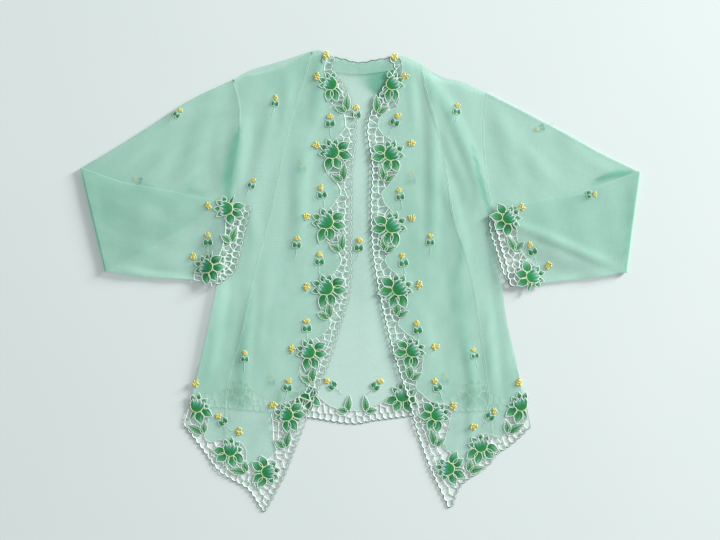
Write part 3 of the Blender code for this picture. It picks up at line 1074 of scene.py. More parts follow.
# Embroidered motifs

def turned(points: Points, angle: float, x: float, y: float) -> Points:
    """Turns local points so that their y axis points at an angle in degrees, and moves them."""
    turn = math.radians(angle - 90)
    c, s = math.cos(turn), math.sin(turn)
    plan = points[:, :2] @ np.array([[c, s], [-s, c]]) + (x, y)
    return np.column_stack([plan, points[:, 2:]])


@dataclass(frozen=True)
class Petal:
    """A pointed petal or leaf, from its base at the origin along y.

    Attributes:
        length: from base to tip.
        width: across its widest place.
        belly: where it is widest, below 1 toward the base.
        bend: how far its tip leans to the side.
        teeth: count of teeth along each side.
        rows: rows of faces along it.
        cols: faces across it.
        dome: height of its middle over its edges.
    """

    length: float
    width: float
    belly: float = 0.8
    bend: float = 0.0
    teeth: int = 0
    rows: int = 8
    cols: int = 4
    dome: float = 0.45

    def _half(self, s: Points) -> Points:
        """Half its width at shares s of its length."""
        half = self.width / 2 * np.maximum(np.sin(np.pi * s**self.belly), 0.0) ** (0.55 + 0.6 * s)
        if self.teeth:
            half = half * (0.78 + 0.34 * ((s * self.teeth) % 1.0))
        return half + 0.05

    def surface(self) -> tuple[Points, Points, Points]:
        """Its points, faces and places, over the cloth."""
        s = np.linspace(0, 1, self.rows + 1)
        t = np.linspace(-1, 1, self.cols + 1)
        half = self._half(s)
        x = half[:, None] * t[None, :] + self.bend * s[:, None] ** 2
        y = np.broadcast_to(s[:, None] * self.length, x.shape)
        crown = np.sin(np.pi * np.clip(s, 0.08, 0.94))[:, None]
        z = self.dome * np.sqrt(np.maximum(1 - t[None, :] ** 2, 0)) * crown
        uv = np.stack(np.broadcast_arrays(t[None, :], s[:, None]), axis=2).reshape(-1, 2)
        points = np.stack([x, y, z], axis=2).reshape(-1, 3)
        return points, grid_faces(self.rows, self.cols)[:, ::-1], uv

    def outline(self) -> Points:
        """Its outline, round from the base."""
        s = np.linspace(0, 1, self.rows + 1)
        half = self._half(s)
        lean = self.bend * s**2
        left = np.column_stack([lean - half, s * self.length])
        right = np.column_stack([lean + half, s * self.length])[::-1]
        return np.vstack([left, right[1:-1]])


@dataclass(frozen=True)
class Cup:
    """The bell of a flower, round at its base and jagged at its rim.

    Attributes:
        width: across its base.
        length: from its base to its rim.
        depth: height of the points of its rim.
        flare: how much wider its rim is, as a share.
        points: count of the points of its rim.
        rows: rows of faces along it.
        cols: faces across it.
        dome: height of its middle over its edges.
    """

    width: float
    length: float
    depth: float
    flare: float = 0.22
    points: int = 4
    rows: int = 7
    cols: int = 24
    dome: float = 0.8

    def _place(self, t: Points, s: Points) -> tuple[Points, Points]:
        """Plan place of a point a share t across and s up the cup."""
        base = self.length * 0.46 * (1 - np.sqrt(np.maximum(1 - t**2, 0)))
        saw = np.abs((((t + 1) / 2 * self.points) % 1.0) * 2 - 1)
        rim = self.length * (0.92 - 0.16 * t**2) + self.depth * (0.4 - saw)
        width = self.width / 2 * t * (1 + self.flare * s**1.5)
        return width, base * (1 - s) + rim * s

    def surface(self) -> tuple[Points, Points, Points]:
        """Its points, faces and places, over the cloth."""
        t = np.linspace(-1, 1, self.cols + 1)[None, :]
        s = np.linspace(0, 1, self.rows + 1)[:, None]
        x, y = self._place(*np.broadcast_arrays(t, s))
        crown = 0.35 + 0.65 * np.sin(np.pi * np.clip(s, 0.1, 0.9))
        z = self.dome * np.sqrt(np.maximum(1 - t**2, 0.02)) * crown
        uv = np.stack(np.broadcast_arrays(t, s), axis=2).reshape(-1, 2)
        points = np.stack([x, y, z], axis=2).reshape(-1, 3)
        return points, grid_faces(self.rows, self.cols)[:, ::-1], uv

    def base_line(self) -> Points:
        """The round base, from side to side."""
        t = np.sin(np.linspace(-np.pi / 2, np.pi / 2, 15))
        return np.column_stack(self._place(t, np.zeros(15)))

    def rim_line(self) -> Points:
        """The sides and the jagged rim, from one end of the base to the other."""
        up = np.linspace(0.1, 0.9, 4)
        t = np.concatenate([-np.ones(4), np.linspace(-1, 1, self.points * 4 + 1), np.ones(4)])
        return np.column_stack(self._place(t, np.concatenate([up, np.ones(self.points * 4 + 1), up[::-1]])))


@dataclass(frozen=True)
class MotifSizes:
    """Sizes of the motifs in millimetres.

    Attributes:
        buds: turn of each bud from a flower's opening, and its distance out.
        bud: length and width of a bud.
        leaves: turns of a flower's leaves, the last one thin.
        leaf_start: distance of a leaf's foot from the flower's middle.
        leaf: length and width of a leaf.
        cup: width, length and depth of a flower's bell.
        cup_start: distance of its base from the flower's middle.
        long_blade: length and width of the long leaf of a pair.
        short_blade: length and width of the short one.
        lobe: length and width of each lobe of a sprig.
        lobe_gap: distance of a lobe's foot from the middle of the sprig.
        stem: length of a sprig's stem.
    """

    buds: tuple = ((-80, 9.6), (-42, 9.0), (4, 9.6), (46, 9.4))
    bud: tuple = (10.6, 7.4)
    leaves: tuple = (107, 143, -160, -123, 172)
    leaf_start: float = 8.4
    leaf: tuple = (20.0, 12.9)
    cup: tuple = (18.6, 20.0, 6.8)
    cup_start: float = 9.2
    long_blade: tuple = (27.5, 12.6)
    short_blade: tuple = (19.5, 12.0)
    lobe: tuple = (11.8, 8.0)
    lobe_gap: float = 1.7
    stem: float = 15.0


class Embroiderer:
    """Works motifs on the cloth, each a little different."""

    def __init__(self, sheet: Stitchery, knot: tuple[Points, Points], seed: int) -> None:
        """Takes the piece to stitch on, the modelled knot, and a seed."""
        self.sheet = sheet
        self.knot = knot
        self.rng = np.random.default_rng(seed)
        self.sizes = MotifSizes()

    def _fill(self, shape: Petal | Cup, kind: Thread, angle: float, place: Sequence[float], level: Level,
              lift: float) -> None:
        """Fills a shape with silk.

        Args:
            shape: the petal or cup.
            kind: its silk.
            angle: the way it points, in degrees.
            place: where its base is.
            level: the level of its cloth.
            lift: height of its edges over the cloth.
        """
        points, faces, uv = shape.surface()
        points = turned(points, angle, *place)
        points[:, 2] += lift
        self.sheet.add(points, faces, uv, kind, level, float(self.rng.random()))

    def _trace(self, line: Points, kind: Thread, radius: float, angle: float, place: Sequence[float],
               level: Level, lift: float, closed: bool = False) -> None:
        """Outlines a shape with a cord.

        Args:
            line: the shape's own line.
            kind: the cord's thread.
            radius: half its width.
            angle: the way the shape points, in degrees.
            place: where its base is.
            level: the level of its cloth.
            lift: height of the cord's foot over the cloth.
            closed: True if its end meets its start.
        """
        path = turned(np.column_stack([line, np.zeros(len(line))]), angle, *place)[:, :2]
        self.sheet.cord(path, radius, kind, level, lift, closed)

    @staticmethod
    def _toward(angle: float) -> Points:
        """Unit vector toward an angle in degrees."""
        return np.array([math.cos(math.radians(angle)), math.sin(math.radians(angle))])

    def petal(self, petal: Petal, angle: float, place: Sequence[float], level: Level,
              kind: Thread = Thread.LEAF, lift: float = 0.35, cord: float = 0.62) -> None:
        """Works one petal or leaf with its white outline.

        Args:
            petal: its shape.
            angle: the way it points, in degrees.
            place: where its base is.
            level: the level of its cloth.
            kind: its silk.
            lift: height of its edges over the cloth.
            cord: half the width of its outline.
        """
        self._fill(petal, kind, angle, place, level, lift)
        self._trace(petal.outline(), Thread.WHITE, cord, angle, place, level, lift, closed=True)

    def knots(self, x: float, y: float, spread: float, count: int, level: Level, size: float) -> None:
        """Works a cluster of yellow knots.

        Args:
            x: middle of the cluster.
            y: middle of the cluster.
            spread: its radius.
            count: how many knots it has.
            level: the level of its cloth.
            size: radius of a knot, over 1 mm.
        """
        points, faces = self.knot
        first = self.rng.random() * 6
        stretch = 0.16 * math.sin(first)
        for k in range(count):
            turn = first + 2.4 * k + 0.5 * self.rng.random()
            reach = spread * math.sqrt((k + 0.3) / count)
            scale = size * (0.95 + 0.4 * self.rng.random())
            place = np.array([x + reach * (1 + stretch) * math.cos(turn),
                              y + reach * (1 - stretch) * math.sin(turn), 0.25])
            self.sheet.add(points * scale + place, faces, points[:, :2] * scale * MM, Thread.BERRY, level,
                           float(self.rng.random()))

    def flower(self, x: float, y: float, angle: float, level: Level, size: float = 1.0,
               leaves: Sequence[float] = (), mirror: bool = False) -> None:
        """Works a bell flower round a place, open toward an angle.

        Args:
            x: middle of its cup.
            y: middle of its cup.
            angle: the way it opens, in degrees.
            level: the level of its cloth.
            size: share of the full size.
            leaves: turns of its own leaves, where they aren't the usual ones.
            mirror: True on the right half.
        """
        sizes = self.sizes
        leaves = leaves or sizes.leaves
        turn = -1 if mirror else 1
        centre = np.array([x, y], float)
        jitter = self.rng.uniform(-1, 1, 24)
        for k, (lean, reach) in enumerate(sizes.buds):
            foot = centre + self._toward(angle + turn * lean) * reach * size
            bud = Petal((sizes.bud[0] + jitter[k]) * size, sizes.bud[1] * size, 0.7, rows=6)
            self.petal(bud, angle + turn * 0.8 * lean + 8 * jitter[k], foot, level, lift=0.30)
        for k, lean in enumerate(leaves):
            foot = centre + self._toward(angle + turn * lean) * sizes.leaf_start * size
            heading = angle + turn * lean + 5 * jitter[20 - k]
            length = (sizes.leaf[0] + 1.6 * jitter[4 + k]) * size
            width = (sizes.leaf[1] + 0.8 * jitter[10 + k]) * size
            if k == len(leaves) - 1:
                thin = Petal(length * 0.85, width * 0.36, 0.68)
                self.petal(thin, heading, foot, level, lift=0.34, cord=0.5)
            else:
                leaf = Petal(length, width, 0.78, bend=2.0 * jitter[15 + k])
                self.petal(leaf, heading, foot, level, lift=0.38, cord=0.64)
        base = centre - self._toward(angle) * sizes.cup_start * size
        cup = Cup(*(value * size for value in sizes.cup))
        self._fill(cup, Thread.CUP, angle, base, level, 0.55)
        self._trace(cup.rim_line(), Thread.WHITE, 0.66, angle, base, level, 0.62)
        self._trace(cup.base_line(), Thread.LIME, 0.55, angle, base, level, 0.66)

    def leaf_pair(self, x: float, y: float, angle: float, spread: float, level: Level, long_left: bool,
                  size: float = 1.0) -> None:
        """Works two serrated leaves in a V.

        Args:
            x: foot of both.
            y: foot of both.
            angle: the way that the pair points, in degrees.
            spread: how far the leaves lean apart.
            level: the level of its cloth.
            long_left: True if the long one leans to the left.
            size: share of the full size.
        """
        for turn, is_long in ((spread, long_left), (-spread, not long_left)):
            length, width = self.sizes.long_blade if is_long else self.sizes.short_blade
            lean = turn * (0.8 if is_long else 1.9)
            blade = Petal(length * size, width * size, 0.8, bend=-turn * 0.05, teeth=6, rows=18)
            self.petal(blade, angle + lean, (x, y), level, Thread.BLADE, cord=0.52)

    def sprig(self, x: float, y: float, angle: float, level: Level, size: float = 1.0) -> None:
        """Works a bud of two green lobes, with its knots above and its stem below.

        Args:
            x: middle of the bud.
            y: middle of the bud.
            angle: the way it points, in degrees.
            level: the level of its cloth.
            size: share of the full size.
        """
        length, width = self.sizes.lobe
        out = self._toward(angle)
        side = np.array([-out[1], out[0]])
        base = np.array([x, y]) - out * 5.6 * size
        spread = 13.0 + 5.0 * self.rng.random()
        for lean in (-1, 1):
            lobe = Petal(length * size, width * size, 0.62, bend=-lean * 0.5, rows=7)
            foot = base + side * self.sizes.lobe_gap * lean * size
            self.petal(lobe, angle + spread * lean, foot, level, Thread.CUP, cord=0.42)
        tip = base + out * 16.0 * size
        self.knots(tip[0], tip[1], 3.9 * size, 11, level, 1.2 * size)
        bow = self.rng.choice((-1.0, 1.0)) * 0.7
        s = np.linspace(0, 1, 9)[:, None]
        path = base - out * self.sizes.stem * s + side * bow * np.sin(np.pi * s * 1.4)
        self.sheet.cord(path, 0.36, Thread.SEAM, level, 0.1)

    def pairs_and_sprigs(self, pairs: Sequence[tuple], spread: float, size: float, sprigs: Sequence[tuple],
                         level: Level) -> None:
        """Works pairs of leaves and then sprigs.

        Args:
            pairs: place, angle and long side of each pair.
            spread: how far their leaves lean apart.
            size: share of their full size.
            sprigs: place, angle and size of each sprig.
            level: the level of their cloth.
        """
        for x, y, angle, long_left in pairs:
            self.leaf_pair(x, y, angle, spread, level, long_left, size)
        for x, y, angle, sprig_size in sprigs:
            self.sprig(x, y, angle, level, sprig_size)


# Cutwork

@dataclass(frozen=True)
class CutworkBorder:
    """Openwork of satin-stitched bars between a scalloped edge and the voile.

    Attributes:
        edge: the outer line in plan, before its scallops.
        outline: the whole border in plan.
        level: the level of its cloth.
        seed: starts the uneven spacing of its bars.
        scallop: length of one scallop.
        swell: height of one scallop.
        rows: distances of the rows of openings from the edge.
        spacing: from opening to opening in a row.
        bar: half the width of a bar.
        rim: half the width of the bars at the edge.
        crown: height of a bar.
    """

    edge: Points
    outline: Outline
    level: Level
    seed: int
    scallop: float = 9.8
    swell: float = 3.3
    rows: tuple = (3.0, 12.4, 23.6, 35.0, 46.5, 58.0)
    spacing: float = 9.7
    bar: float = 0.80
    rim: float = 1.0
    crown: float = 0.34

    def fine_edge(self) -> Points:
        """The edge with close points, rounded where it turns sharply."""
        line = spaced(self.edge, 1.4)
        for _ in range(6):
            line[1:-1] = (line[:-2] + 2 * line[1:-1] + line[2:]) / 4
        return line

    def _inward(self, line: Points) -> float:
        """1 if the border lies on the left of its edge, else -1."""
        middle = line_at(line, np.array([reach_of(line)[-1] / 2]))
        side = normals_of(line)[len(line) // 2]
        return 1.0 if self.outline.contains(middle + side * 3)[0] else -1.0

    def scallops(self, line: Points, reach: Points) -> Points:
        """Points on the scalloped edge, at lengths along its line."""
        total = reach_of(line)[-1]
        count = max(1, round(total / self.scallop))
        out = -self._inward(line) * self._normal_at(line, reach)
        uneven = 0.2 * np.sin(reach / 19 + self.seed) * np.sin(np.pi * reach / total)
        bulge = np.abs(np.sin(np.pi * (reach / total * count + uneven))) ** 0.62
        return line_at(line, reach) + out * (self.swell * (bulge - 0.35))[:, None]

    def _normal_at(self, line: Points, reach: Points) -> Points:
        """Unit normals at lengths along a line."""
        return unit(carried(line, normals_of(line), reach))

    def _seeds(self, line: Points) -> Points:
        """Middles of the openings, in rows beside the edge."""
        rng = np.random.default_rng(self.seed)
        total = reach_of(line)[-1]
        inward = self._inward(line)
        taken = np.empty((0, 2))
        for k, depth in enumerate(self.rows):
            step = self.scallop if k == 0 else self.spacing
            count = max(1, round(total / step))
            reach = (np.arange(count) + (0.5 if k % 2 == 0 else 0.0)) / count * total
            shift = rng.uniform(-3.0, 3.0, (count, 2)) * (0.25 if k == 0 else 1.0)
            places = line_at(line, reach) + self._normal_at(line, reach) * inward * depth + shift
            away, _, _ = nearest_on(line, places)
            rim, _, _ = nearest_on(self.outline.ring(), places)
            good = self.outline.contains(places) & (away > depth * 0.8) & (rim > 2.3)
            for place in places[good]:
                if not len(taken) or np.linalg.norm(taken - place, axis=1).min() > self.spacing * 0.58:
                    taken = np.vstack([taken, place])
        low, high = self.outline.points.min(0), self.outline.points.max(0)
        spare = rng.uniform(low, high, (4000, 2))
        spare = spare[self.outline.contains(spare)]
        rim, _, _ = nearest_on(self.outline.ring(), spare)
        for place in spare[rim > 3.2]:
            if np.linalg.norm(taken - place, axis=1).min() > self.spacing * 0.80:
                taken = np.vstack([taken, place])
        return taken

    def _cells(self, seeds: Points) -> list[tuple[Points, Points]]:
        """Corners of the cell round each seed, and which of its sides are on the border's rim."""
        ring = self.outline.ring()
        ghosts = []
        for start in range(len(ring) - 1):
            a, b = ring[start], ring[start + 1]
            along = b - a
            length = np.linalg.norm(along)
            if length < 1e-6:
                continue
            along = along / length
            offset = seeds - a
            t = offset @ along
            across = offset - t[:, None] * along
            near = (t > -0.3) & (t < length + 0.3) & (np.linalg.norm(across, axis=1) < 9.5)
            ghosts.append((seeds - 2 * across)[near])
        ghosts = np.vstack(ghosts)
        ghosts = ghosts[~self.outline.contains(ghosts)]
        far = np.array([(x, y) for x in np.arange(-520, 521, 24.0) for y in np.arange(-420, 421, 24.0)])
        away, _, _ = nearest_on(ring, far)
        far = far[~self.outline.contains(far) & (away > 16)]
        places = [Vector(p) for p in np.vstack([seeds, ghosts, far])]
        found = delaunay_2d_cdt(places, [], [], 0, 1e-4)
        plan = np.array([v[:] for v in found[0]])
        source = [min(o) if o else len(places) for o in found[3]]
        tris = np.array([f for f in found[2] if len(f) == 3])
        a, b, c = (plan[tris[:, k]] for k in range(3))
        scale = 2 * (a[:, 0] * (b[:, 1] - c[:, 1]) + b[:, 0] * (c[:, 1] - a[:, 1]) + c[:, 0] * (a[:, 1] - b[:, 1]))
        scale = np.where(np.abs(scale) < 1e-9, 1e-9, scale)
        aa, bb, cc = ((p**2).sum(1) for p in (a, b, c))
        x = (aa * (b[:, 1] - c[:, 1]) + bb * (c[:, 1] - a[:, 1]) + cc * (a[:, 1] - b[:, 1])) / scale
        y = (aa * (c[:, 0] - b[:, 0]) + bb * (a[:, 0] - c[:, 0]) + cc * (b[:, 0] - a[:, 0])) / scale
        hubs = np.column_stack([x, y])
        middles = (a + b + c) / 3
        around: list[list[int]] = [[] for _ in plan]
        for index, tri in enumerate(tris):
            for corner in tri:
                around[corner].append(index)
        cells = []
        for index, spot in enumerate(plan):
            if source[index] >= len(seeds) or len(around[index]) < 3:
                continue
            own = np.array(around[index])
            own = own[np.argsort(np.arctan2(*(middles[own] - spot).T[::-1]))]
            corners = hubs[own]
            reach = np.linalg.norm(corners - spot, axis=1, keepdims=True)
            corners = spot + (corners - spot) * np.minimum(1, 13.0 / np.maximum(reach, 1e-6))
            rim = []
            for here, ahead in zip(own, np.roll(own, -1)):
                shared = (set(tris[here]) & set(tris[ahead])) - {index}
                rim.append(any(source[s] >= len(seeds) for s in shared))
            cells.append((corners, np.array(rim)))
        return cells

    def _loop(self, corners: Points, rim: Points, line: Points) -> tuple[Points, Points]:
        """Close points round a cell, on the scallops where it meets the edge."""
        points, inset = [], []
        for here, ahead, outer in zip(corners, np.roll(corners, -1, axis=0), rim):
            side = np.linalg.norm(ahead - here)
            if side < 0.05:
                continue
            count = 6 if outer else max(1, min(4, round(side / 2.6)))
            steps = here + (ahead - here) * (np.arange(count) / count)[:, None]
            points.append(steps)
            inset.append(np.full(count, self.rim if outer else self.bar))
        loop, widths = np.vstack(points), np.concatenate(inset)
        away, reach, side = nearest_on(line, loop)
        outside = (away < 2.2) | (side != self._inward(line))
        touching = outside & (away < 6)
        if touching.any():
            loop[touching] = self.scallops(line, reach[touching])
        return loop, widths

    def build(self, name: str, form: Form, finish: bpy.types.Material) -> bpy.types.Object:
        """Makes the openwork as one closed mesh of rounded bars."""
        line = self.fine_edge()
        cells = self._cells(self._seeds(line))
        points, faces, uv = [], [], []
        count = 0
        for corners, rim in cells:
            loop, widths = self._loop(corners, rim, line)
            size = len(loop)
            if size < 5:
                continue
            inward = normals_of(loop, closed=True)
            middle = loop.mean(0)
            reach = np.linalg.norm(loop - middle, axis=1)
            widths = np.minimum(widths, reach * 0.42)
            hole = loop + inward * widths[:, None]
            for _ in range(2):
                hole = (np.roll(hole, 1, axis=0) + 2 * hole + np.roll(hole, -1, axis=0)) / 4
            slope = loop * 0.45 + hole * 0.55
            stack = [(loop, self.crown), (slope, self.crown * 0.8), (hole, 0.0), (loop, -self.crown * 0.8)]
            around = np.concatenate([[0], np.cumsum(np.linalg.norm(np.diff(loop, axis=0), axis=1))])
            for depth, (ring, height) in enumerate(stack):
                points.append(np.column_stack([ring, np.full(size, height)]))
                uv.append(np.column_stack([around * MM, np.full(size, depth / 4)]))
            k = np.arange(size)
            ahead = (k + 1) % size
            for depth in range(3):
                near, far = count + depth * size, count + (depth + 1) * size
                faces.append(np.column_stack([near + k, near + ahead, far + ahead, far + k]))
            count += 4 * size
        points = np.concatenate(points)
        points[:, 2] += form.height(points[:, :2], self.level)
        piece = make_mesh(name, points, np.concatenate(faces), np.concatenate(uv), np.full(len(points), 0.5))
        bpy.ops.object.select_all(action="DESELECT")
        bpy.context.view_layer.objects.active = piece
        piece.select_set(True)
        bpy.ops.object.mode_set(mode="EDIT")
        bpy.ops.mesh.select_all(action="SELECT")
        bpy.ops.mesh.remove_doubles(threshold=2e-5)
        bpy.ops.object.mode_set(mode="OBJECT")
        piece.select_set(False)
        piece.data.materials.append(finish)
        log.info("%s: %d openings, %d faces", name, len(cells), len(piece.data.polygons))
        return piece

    def bind(self, sheet: Stitchery, inner: Points) -> None:
        """Binds the scalloped edge in white and fine green, and the inner one in white.

        Args:
            sheet: the embroidery that the cords are part of.
            inner: the line where the openwork meets the voile.
        """
        line = self.fine_edge()
        total = reach_of(line)[-1]
        path = self.scallops(line, np.linspace(0, total, max(2, round(total / 1.5))))
        sheet.cord(path, 0.68, Thread.WHITE, self.level, 0.1)
        out = -self._inward(line) * normals_of(path)
        sheet.cord(path + out * 0.98, 0.38, Thread.EDGE, self.level, 0.0)
        sheet.cord(spaced(inner, 2.2), 0.36, Thread.WHITE, self.level, 0.15)


# Sub-assemblies

@dataclass
class Finishes:
    """The materials that the pieces share."""

    body: bpy.types.Material
    front: bpy.types.Material
    sleeve: bpy.types.Material
    net: bpy.types.Material
    threads: list

    @classmethod
    def make(cls) -> "Finishes":
        """Builds every material once."""
        weave, satin = voile_weave(), satin_stitches()
        body = VoileFinish("mint voile").material(weave)
        front = VoileFinish("front voile", cover=0.60).material(weave)
        sleeve = VoileFinish("sleeve voile").material(weave)
        kinds = [WHITE_THREAD, LIME_THREAD, EDGE_THREAD, CUP_SILK, LEAF_SILK, BLADE_SILK, BERRY_THREAD, SEAM_THREAD]
        return cls(body, front, sleeve, NET_THREAD.material(satin), [kind.material(satin) for kind in kinds])


def dress(piece: bpy.types.Object, slot: Slot, *nodes: str) -> bpy.types.Object:
    """Makes a piece ride on the body and stand for CAD nodes."""
    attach(piece, BODY)
    if nodes:
        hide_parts(*nodes)
    log.info("%s: %d faces", piece.name, len(piece.data.polygons))
    return piece


def model_knot() -> tuple[Points, Points]:
    """Models one embroidered knot, 1 mm in radius, as its points and quads."""
    bpy.ops.object.select_all(action="DESELECT")
    bpy.ops.mesh.primitive_cube_add(size=1.3, location=(0, 0, 0))
    knot = bpy.context.object
    bpy.ops.object.mode_set(mode="EDIT")
    bpy.ops.mesh.select_all(action="SELECT")
    bpy.ops.mesh.subdivide(number_cuts=1, smoothness=1.0)
    bpy.ops.transform.resize(value=(1.0, 1.0, 0.62))
    bpy.ops.object.mode_set(mode="OBJECT")
    points = np.array([v.co[:] for v in knot.data.vertices])
    faces = np.array([tuple(p.vertices) for p in knot.data.polygons])
    bpy.data.objects.remove(knot, do_unlink=True)
    return points, faces


@dataclass
class FrontHalf:
    """One front: side and centre panels, border, embroidery and seams."""

    plan: HalfPlan
    flowers: tuple
    pairs: tuple
    sprigs: tuple
    berries: tuple
    seed: int
    spacing: float = 5.0
    profile: tuple = ((-50, 13), (-44, 14), (-36, 18), (-28, 24), (-20, 32), (-10, 37), (2, 38),
                      (14, 38), (26, 35), (36, 29), (44, 20), (50, 13))
    neck_profile: tuple = ((-40, 9), (-12, 10), (0, 14), (12, 25), (22, 31), (34, 28), (44, 20), (52, 13))
    strokes: tuple = ()
    seam_shown: float = 1.0

    def column(self, column: str) -> Points:
        """Smooth line down one column of stations."""
        stations = getattr(self.plan, column)
        steps = [k + s / (rows * FINER) for k, rows in enumerate(STATION_ROWS) for s in range(rows * FINER)]
        return curve_at(stations, np.array(steps + [len(stations) - 1.0]))

    def inner_line(self, edge: Points) -> Points:
        """Inner line of the border, which swells at each flower, from the neck to the side."""
        total = reach_of(edge)[-1]
        controls = [(0.0, 9.0)]
        for index, (x, y, *_) in enumerate(self.flowers[:6]):
            _, reach, _ = nearest_on(edge, np.array([[x, y]], float))
            lowest = controls[-1][0]
            for step, width in self.profile if index else self.neck_profile:
                at = reach[0] + step
                if lowest < at < total and not (index == 5 and step > -14):
                    controls.append((at, width))
                    lowest = at
        controls = np.array(controls)
        inward = -1.0 if self.plan.name == "left" else 1.0
        reach = np.arange(0, controls[-1, 0], 3.0)
        widths = np.interp(reach, controls[:, 0], controls[:, 1])
        widths = np.convolve(np.pad(widths, 2, mode="edge"), np.ones(5) / 5, mode="valid")
        across = carried(edge, normals_of(edge), reach)
        across *= np.sign(across[:, :1] * inward)
        widths = widths + 0.9 * np.sin(reach / 2.7) * np.clip((widths - 12) / 8, 0, 1)
        line = line_at(edge, reach) + across * widths[:, None]
        end = curve_at(self.plan.border_end, np.linspace(0, len(self.plan.border_end) - 1, 90))
        return spaced(np.vstack([line, end]), 3.0)

    def build(self, form: Form, finishes: Finishes, berry: tuple[Points, Points]) -> None:
        """Builds the panels, the openwork, the embroidery and the seams of this front."""
        name = self.plan.name
        side, seam, edge = (self.column(c) for c in ("side", "seam", "edge"))
        inner = self.inner_line(edge)
        hem = even_curve(self.plan.hem, 60)[::-1]
        shoulder = even_curve(self.plan.shoulder, 26)
        _, reach, _ = nearest_on(inner, seam[-1:])
        join = int(np.argmin(np.abs(reach_of(inner) - reach[0])))
        side_outline = Outline(np.vstack([shoulder, seam[1:-1], inner[join:], side[1:-1][::-1]]))
        centre_outline = Outline(np.vstack([spaced(np.array([seam[0], inner[0]]), 5.0)[:-1], inner[:join + 1],
                                            seam[1:-1][::-1]]))
        side_piece = lay_cloth(f"side_panel_{name}", side_outline, Level.FRONT, form, self.spacing)
        side_piece.data.materials.append(finishes.front)
        centre = lay_cloth(f"centre_panel_{name}", centre_outline, Level.FRONT, form, self.spacing)
        centre.data.materials.append(finishes.front)
        outer = np.vstack([edge, hem[1:]])
        border = CutworkBorder(outer, Outline(np.vstack([outer, inner[::-1]])), Level.FRONT, self.seed)
        lace = border.build(f"openwork_{name}", form, finishes.net)
        stitched = Stitchery(form)
        border.bind(stitched, inner)
        self._seams(stitched, seam, side)
        for stroke in self.strokes:
            stitched.cord(even_curve(stroke, 6), 0.6, Thread.EDGE, Level.FRONT, 0.3)
        worker = Embroiderer(stitched, berry, self.seed)
        for index, (x, y, angle, *leaves) in enumerate(self.flowers):
            size = FLOWER_SIZES[min(index, len(FLOWER_SIZES) - 1)]
            worker.flower(x, y, angle, Level.FRONT, size, *leaves, mirror=name == "right")
        worker.pairs_and_sprigs(self.pairs, 24, 1.0, self.sprigs, Level.FRONT)
        for x, y in self.berries:
            worker.knots(x, y, 5.2, 11, Level.FRONT, 1.3)
        work = stitched.build(f"embroidery_{name}", finishes.threads)
        dress(side_piece, Slot.BODY, f"front_side_{name}")
        dress(centre, Slot.BODY, f"front_centre_{name}")
        dress(lace, Slot.BORDER, f"front_border_{name}", f"hem_border_{name}")
        dress(work, Slot.BORDER)

    def _seams(self, sheet: Stitchery, seam: Points, side: Points) -> None:
        """Works the two rows of stitches of the princess seam, and the armhole's."""
        line = spaced(seam, 4.0)
        armhole = spaced(side[:int(ARMHOLE_POINTS * self.seam_shown)], 4.0)
        for shift in (-1.0, 1.0):
            sheet.cord(line + normals_of(line) * shift, 0.3, Thread.SEAM, Level.FRONT, 0.0)
            sheet.cord(armhole + normals_of(armhole) * shift * 0.8, 0.3, Thread.SEAM, Level.FRONT, 0.0)


